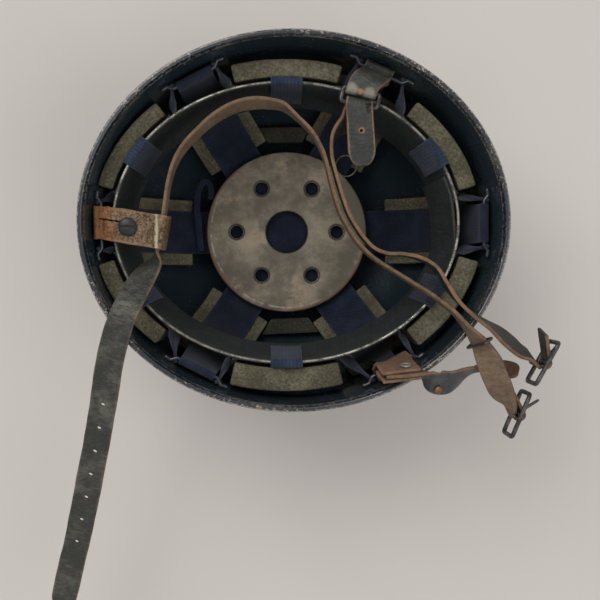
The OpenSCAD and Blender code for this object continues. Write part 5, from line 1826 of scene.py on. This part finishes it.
@dataclass
class RightSide(Part):
    """Hanger, wire adjuster and the right strap with its buckle."""

    width: float = 20.0  # of the hanger
    middle: Triple = (42.9, 80.9, 156.0)  # of the adjuster
    half: float = 4.7  # from there to each of its bars
    bar: Triple = (161.0, -91.5, 166.0)  # middle of the buckle's bar

    def __post_init__(self) -> None:
        """Works out the way the strap crosses the adjuster, the width direction there and its two bars."""
        self.run, self.side = unit([-0.22, -0.97, 0]), unit([0.975, -0.222, 0])
        self.upper, self.lower = self.middle - self.half * self.run, self.middle + self.half * self.run

    def hanger(self, f: float, w: float) -> Array:
        """Row of the hanger, at a share f of the Bezier from the bracket to the adjuster and w over the bar.

        Args:
            f: Share of the way.
            w: Height over the bar.

        Returns:
            The row.
        """
        inwards, along = SHELL.axes(1)
        a, g = SHELL.from_bar(1, (0, 2, 0)), 1 - f
        b, c = a + 8 * inwards, self.upper - 9 * self.run
        p = g**3 * a + 3 * g * g * f * b + 3 * g * f * f * c + f**3 * self.upper
        return row((p[0], p[1], SHELL.bar_z + w), unit(mix(-along, self.side, f)), self.width)

    def around(self, c: Array, e: Array, r: float, steps: int, width: float) -> Array:
        """Rows of a half turn over a level bar, from its top to its foot, in the plane of e and up."""
        a = np.radians(np.linspace(90, -90, steps + 1))[:, None]
        return rows_of(c + r * (np.cos(a) * e + np.sin(a) * UP), self.side, width)

    def build_hanger(self) -> None:
        """Strip from inside, round the bracket's bar, over to the adjuster and back."""
        start = np.array([self.hanger(0.62, 8.9), self.hanger(0.5, 6.6), self.hanger(0.36, 3.4)])
        wrap = bar_wrap(1, WRAP_TAB, -10, -265, 2, self.width, 20)
        wrap[:, 3:6] *= -1
        back = self.around(self.upper, self.run, WIRE + 0.4 + TAB / 2, 16, self.width)
        top = [self.hanger(0.1, 7.4), self.hanger(0.3, 12.2), self.hanger(0.6, 16), self.hanger(0.85, 17), back[0]]
        low = [self.hanger(0.84, 11), self.hanger(0.7, 9.9)]
        rows = np.vstack([route(start, 4), wrap, route(top, 8), back[1:], low])
        piece = self.shop.strap("right_hanger_leather", rows, TAB, across=11, worn=0.2, seed=4.4)
        self.shop.cut(piece, self.shop.bar_window(1))
        self.shop.hand_over(piece, "right_hanger", "hanger")

    def build_strap(self) -> None:
        """From its pointed tip over the adjuster, beside the chin strap, to the side buckle."""
        s = tuple(self.side)
        tip = [(44.3, 36, 157.5, *s, 6), (44.2, 38.5, 157.8, *s, 12), (44, 42, 158.2, *s, 16)]
        tip += [(43.8, 47, 158.6), (43.2, 56, 159), (42.6, 66, 159.2)]
        run = [
            (41, 72, 152.6, *s), (37.5, 67.5, 150.3, 0.87, -0.1, -0.5), (32, 63, 147.3, 0.6, 0, -0.8),
            (27, 57.5, 145, 0.2, 0, -0.98), (24.6, 50.5, 143.5), (24.9, 43, 142.5), (26.9, 35, 142), (29.7, 25, 142),
            (32.7, 15.5, 142), (36, 6.5, 142), (41, -2.5, 142.5), (47, -11, 143), (53.5, -17.3, 144.5),
            (62, -20.5, 147.5), (72.5, -21.4, 152), (83, -24.5, 157.5), (91.5, -31, 164), (97.5, -41.5, 171),
            (104, -51.5, 176.5, 0.05, 0.05, -1), (113.5, -60.5, 179, 0.1, 0.1, -0.98),
            (123, -67, 179, 0.15, 0.2, -0.95), (132.5, -74, 177, 0.3, 0.35, -0.87),
            (143, -82, 173.5, 0.3, 0.35, -0.87), (151, -86.5, 170, 0.15, 0.2, -0.95),
        ]  # fmt: skip
        over = self.around(self.lower, -self.run, WRAP_STRAP, 14, STRAP_WIDTH)
        body = route(np.vstack([spread(run, (0, 0, -1)), leave(self.bar, -24, -4, -1, 0.6)]), 8)
        end = [leave(self.bar, 101.5, reach, -1, rise) for reach, rise in ((7, 1), (14, 2.4), (20, 4))]
        rows = np.vstack([route(spread(tip, s), 5), over, body, fold(self.bar, -24, 101.5, -1, 14), end])
        piece = self.shop.strap("right_strap_leather", rows, STRAP, across=11, worn=0.22, seed=2.2)
        hole = self.shop.drill(np.array([43.4, 59, 157]), UP, 1.1, 7)
        self.shop.cut(piece, hole, self.shop.slot(self.bar, 61))
        self.shop.hand_over(piece, "right_strap", "right")

    def build(self) -> None:
        """Makes all of it."""
        self.build_hanger()
        self.build_strap()
        wire = Hardware(self.shop)
        e = (wire.gap / 2 + WIRE) * self.side
        corners = np.array([self.upper + e, self.lower + e, self.lower - e, self.upper - e])
        wire.loop("strap_adjuster", corners, WIRE, 2.4)
        wire.frame("side_buckle", self.bar, 61)
        wire.prong("side_prong", self.bar, 49)


@dataclass
class LeftSide(Part):
    """Tan tab over the front left bracket, its screw post, and the left strap with its rivet."""

    post_v: float = 4.5
    post_w: float = 34.0
    turn: float = -24.0
    lean: float = 0.3
    width: float = 25.0

    def sides(self, w: float) -> tuple[Array, Array]:
        """The tab's width direction and its outward direction at height w.

        Args:
            w: Height over the bar.

        Returns:
            Both directions.
        """
        a = SHELL.axes(5)[1]
        turn = np.interp(w, [8, 16, 24, 42], [0, self.turn * 0.45, self.turn, self.turn])
        angle = np.degrees(np.arctan2(a[1], a[0])) + turn
        return heading(angle), heading(angle - 90)

    def place(self, w: float, v: float, d: float) -> Array:
        """Point of the tab.

        Args:
            w: Height over the bar.
            v: Distance along its width.
            d: Distance outwards.

        Returns:
            The point.
        """
        side, out = self.sides(w)
        mid = np.interp(w, [0, 10, 18, 24, 42], [0, -1, -2.2, -2, 3.4])
        return SHELL.from_bar(5, (-mid, 0, w)) + v * side + d * out

    def layer(self, heights: Sequence[float], face: int) -> Array:
        """Rows of one layer of the tab, on the outer face or the inner one.

        Args:
            heights: Heights over the bar.
            face: 1 for the outer layer, -1 for the inner one.

        Returns:
            The rows.
        """
        half = np.interp(heights, [0, 8, 16, 22, 42], [WRAP_TAB, 4.1, 3.4, 2.65, 2.65])
        return np.array([row(self.place(w, 0, face * h), self.sides(w)[0], self.width) for w, h in zip(heights, half)])

    def build(self) -> None:
        """Makes the tab, the strap, the post and the rivet."""
        heights = (42, 38, 34, 30, 27, 24, 21, 18, 14, 10, 6, 3)
        wrap = bar_wrap(5, WRAP_TAB, 0, -180, 0, self.width, 16)
        rows = np.vstack([route(self.layer(heights, -1), 4), wrap, route(self.layer(heights[::-1], 1), 4)])
        tab = self.shop.strap("left_tab_leather", rows, TAB, across=11, worn=0.25, seed=6.0)
        out, wall = self.sides(self.post_w)[1], -SHELL.axes(5)[0]
        n = unit(out - UP * self.lean * (out @ wall))
        c = self.place(self.post_w, self.post_v, 0)
        self.shop.cut(tab, self.shop.bar_window(5, 14), self.shop.drill(c, n, 2.3, 20))
        self.shop.hand_over(tab, "left_tab", "tan")
        up = unit(UP + self.lean * wall)
        start = np.array([row(self.place(self.post_w, v, 0), up, STRAP_WIDTH) for v in (-9, -3, 3, 8.5, 14)])
        run = [
            (84.8, -98.8, 175.4, 0.1, 0.4, 0.9), (90, -103, 175, 0.1, 0.85, 0.5), (99, -104, 172, 0.1, 0.85, 0.5),
            (108, -101.5, 164.5, 0, 0.6, 0.8), (117, -98.5, 156.5, 0, 0.15, 0.98), (126, -97, 152.5, 0, -0.25, 0.96),
            (135, -97, 153, 0.05, -0.5, 0.86), (141, -97.5, 155, 0.05, -0.6, 0.8, 16),
            (145.5, -98, 157, 0.05, -0.6, 0.8, 12), (147.5, -98.2, 157.8, 0.05, -0.6, 0.8, 7),
        ]  # fmt: skip
        strap = self.shop.strap(
            "left_strap_leather", np.vstack([start, route(spread(run), 8)]), STRAP, across=11, worn=0.25, seed=7.0
        )
        # The rivet sits near the strap's edge, where a route in three steps has its fifth point
        coarse = route(spread(run), 3)[3:6]
        t = unit(coarse[2, :3] - coarse[0, :3])
        w = square_to(coarse[1, 3:6], t)
        p, f = coarse[1, :3] - 4.5 * w, np.cross(t, w)
        self.shop.cut(strap, self.shop.drill(c, n, 2.3, 20), self.shop.drill(p, f, 1.3, 6))
        self.shop.hand_over(strap, "left_strap", "left")
        self.build_post(c, n)
        h = STRAP / 2 + 0.7
        head = [(0.05, h + 1), (1.4, h + 0.95), (2.4, h + 0.6), (2.7, h + 0.1), (2.6, h), (1.1, h)]
        self.shop.hand_over(self.spool("left_rivet_copper", p, f, head), "left_rivet", "copper")

    def spool(self, name: str, c: Array, axis: Array, head: Sequence[tuple[float, float]]) -> Piece:
        """Turned piece with the same head at both ends."""
        return self.shop.lathe(name, c, axis, [*head, *((r, -h) for r, h in head[::-1])])

    def build_post(self, c: Array, n: Array) -> None:
        """Screw post: two low heads on one shank, both slotted.

        Args:
            c: Middle of the post.
            n: Its axis.
        """
        half = STRAP / 2 + SLACK + TAB + 0.6
        head = [(0.05, 1.2), (2.4, 1.15), (3.4, 0.85), (3.75, 0.3), (3.7, -0.15), (2.0, -0.2)]
        post = self.spool("left_screw_post_steel", c, n, [(r, half + h) for r, h in head])
        e = unit(np.cross(n, UP))
        g = np.cross(n, e)
        for s in (1, -1):
            corner = c + s * n * (half + 0.55) - 5 * e - 0.45 * g
            self.shop.cut(post, self.shop.block(corner, 10 * e, 0.9 * g, s * 2 * n))
        self.shop.hand_over(post, "left_screw_post", "bright")


# ---------------------------------------------------------------- studio


@dataclass
class Studio:
    """Floor, light and the camera at the photograph's viewing angle."""

    floor: Colour = (0.64, 0.60, 0.57)
    floor_half: float = 3.0
    lens: float = 63.0

    @staticmethod
    def add(name: str, data: bpy.types.ID, place: Sequence[float] = (0, 0, 0)) -> Piece:
        """Puts data into the scene as an object.

        Args:
            name: The object's name.
            data: Its mesh, light or camera.
            place: Where it stands, in metres.

        Returns:
            The object.
        """
        made = bpy.data.objects.new(name, data)
        made.location = place
        bpy.context.scene.collection.objects.link(made)
        return made

    def build_floor(self) -> None:
        """A wide pale sheet under the crown with a faint unevenness."""
        mesh, s = bpy.data.meshes.new("floor"), self.floor_half
        mesh.from_pydata([(-s, -s, 0), (s, -s, 0), (s, s, 0), (-s, s, 0)], [], [(0, 1, 2, 3)])
        floor = self.add("floor", mesh)
        f = Finish("pale_floor", Roughness=0.9, Specular_IOR_Level=0.1)
        tone = f.blend(self.floor, scaled(self.floor, 0.94), f.noise(260.0, 2.0).step(0.3, 0.8))
        f.tree.links.new(tone, f.shader.inputs["Base Color"])
        mesh.materials.append(f.material)

    def lamp(self, name: str, place: tuple[float, float, float], size: float, power: float) -> None:
        """A square lamp that faces the helmet.

        Args:
            name: The object's name.
            place: Where it hangs, in metres.
            size: Length of its sides.
            power: Its power in watts.
        """
        data = bpy.data.lights.new(name, "AREA")
        data.size, data.energy = size, power
        x, y, z = np.array([0, 0, 0.08]) - np.array(place)
        turn = Euler((np.arctan2(np.hypot(x, y), -z), 0, np.arctan2(y, x) - np.pi / 2))
        self.add(name, data, place).rotation_euler = turn

    def build_light(self) -> None:
        """Soft light from the upper left of the view and a plain world."""
        self.lamp("key", (-0.7, 0.9, 1.7), 1.1, 16.0)
        self.lamp("fill", (0.9, -0.5, 1.5), 1.4, 7.0)
        world = bpy.data.worlds.new("plain")
        world.use_nodes = True
        background = world.node_tree.nodes["Background"]
        background.inputs["Color"].default_value = (1.0, 0.99, 0.97, 1.0)
        background.inputs["Strength"].default_value = 0.55
        bpy.context.scene.world = world
        bpy.context.scene.view_settings.view_transform = "Standard"

    def build_camera(self) -> None:
        """The fitted camera looks down into the opening, with +Y up in the frame."""
        data = bpy.data.cameras.new("camera")
        data.lens, data.sensor_width, data.clip_start = self.lens, 36.0, 0.01
        camera = self.add("camera", data, (-0.014966, -0.038811, 0.842576))
        turn = Euler((0, -0.027, 0)).to_matrix() @ Euler((-0.018, 0, 0)).to_matrix()
        camera.rotation_euler = turn.to_euler()
        bpy.context.scene.camera = camera

    def build(self) -> None:
        """Makes all of it."""
        self.build_camera()
        self.build_light()
        self.build_floor()


def main() -> None:
    """Builds the studio and the helmet, sub-assembly by sub-assembly."""
    logging.basicConfig(level=logging.INFO, format="%(message)s")
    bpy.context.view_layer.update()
    Studio().build()
    shop = Workshop()
    for part in (Shell, Liner, Crown, NapeTab, ChinStrap, RightSide, LeftSide):
        part(shop).build()
        log.info("%s done", part.__name__)
    log.info("%d pieces made", shop.made)


if __name__ == "__main__":
    main()
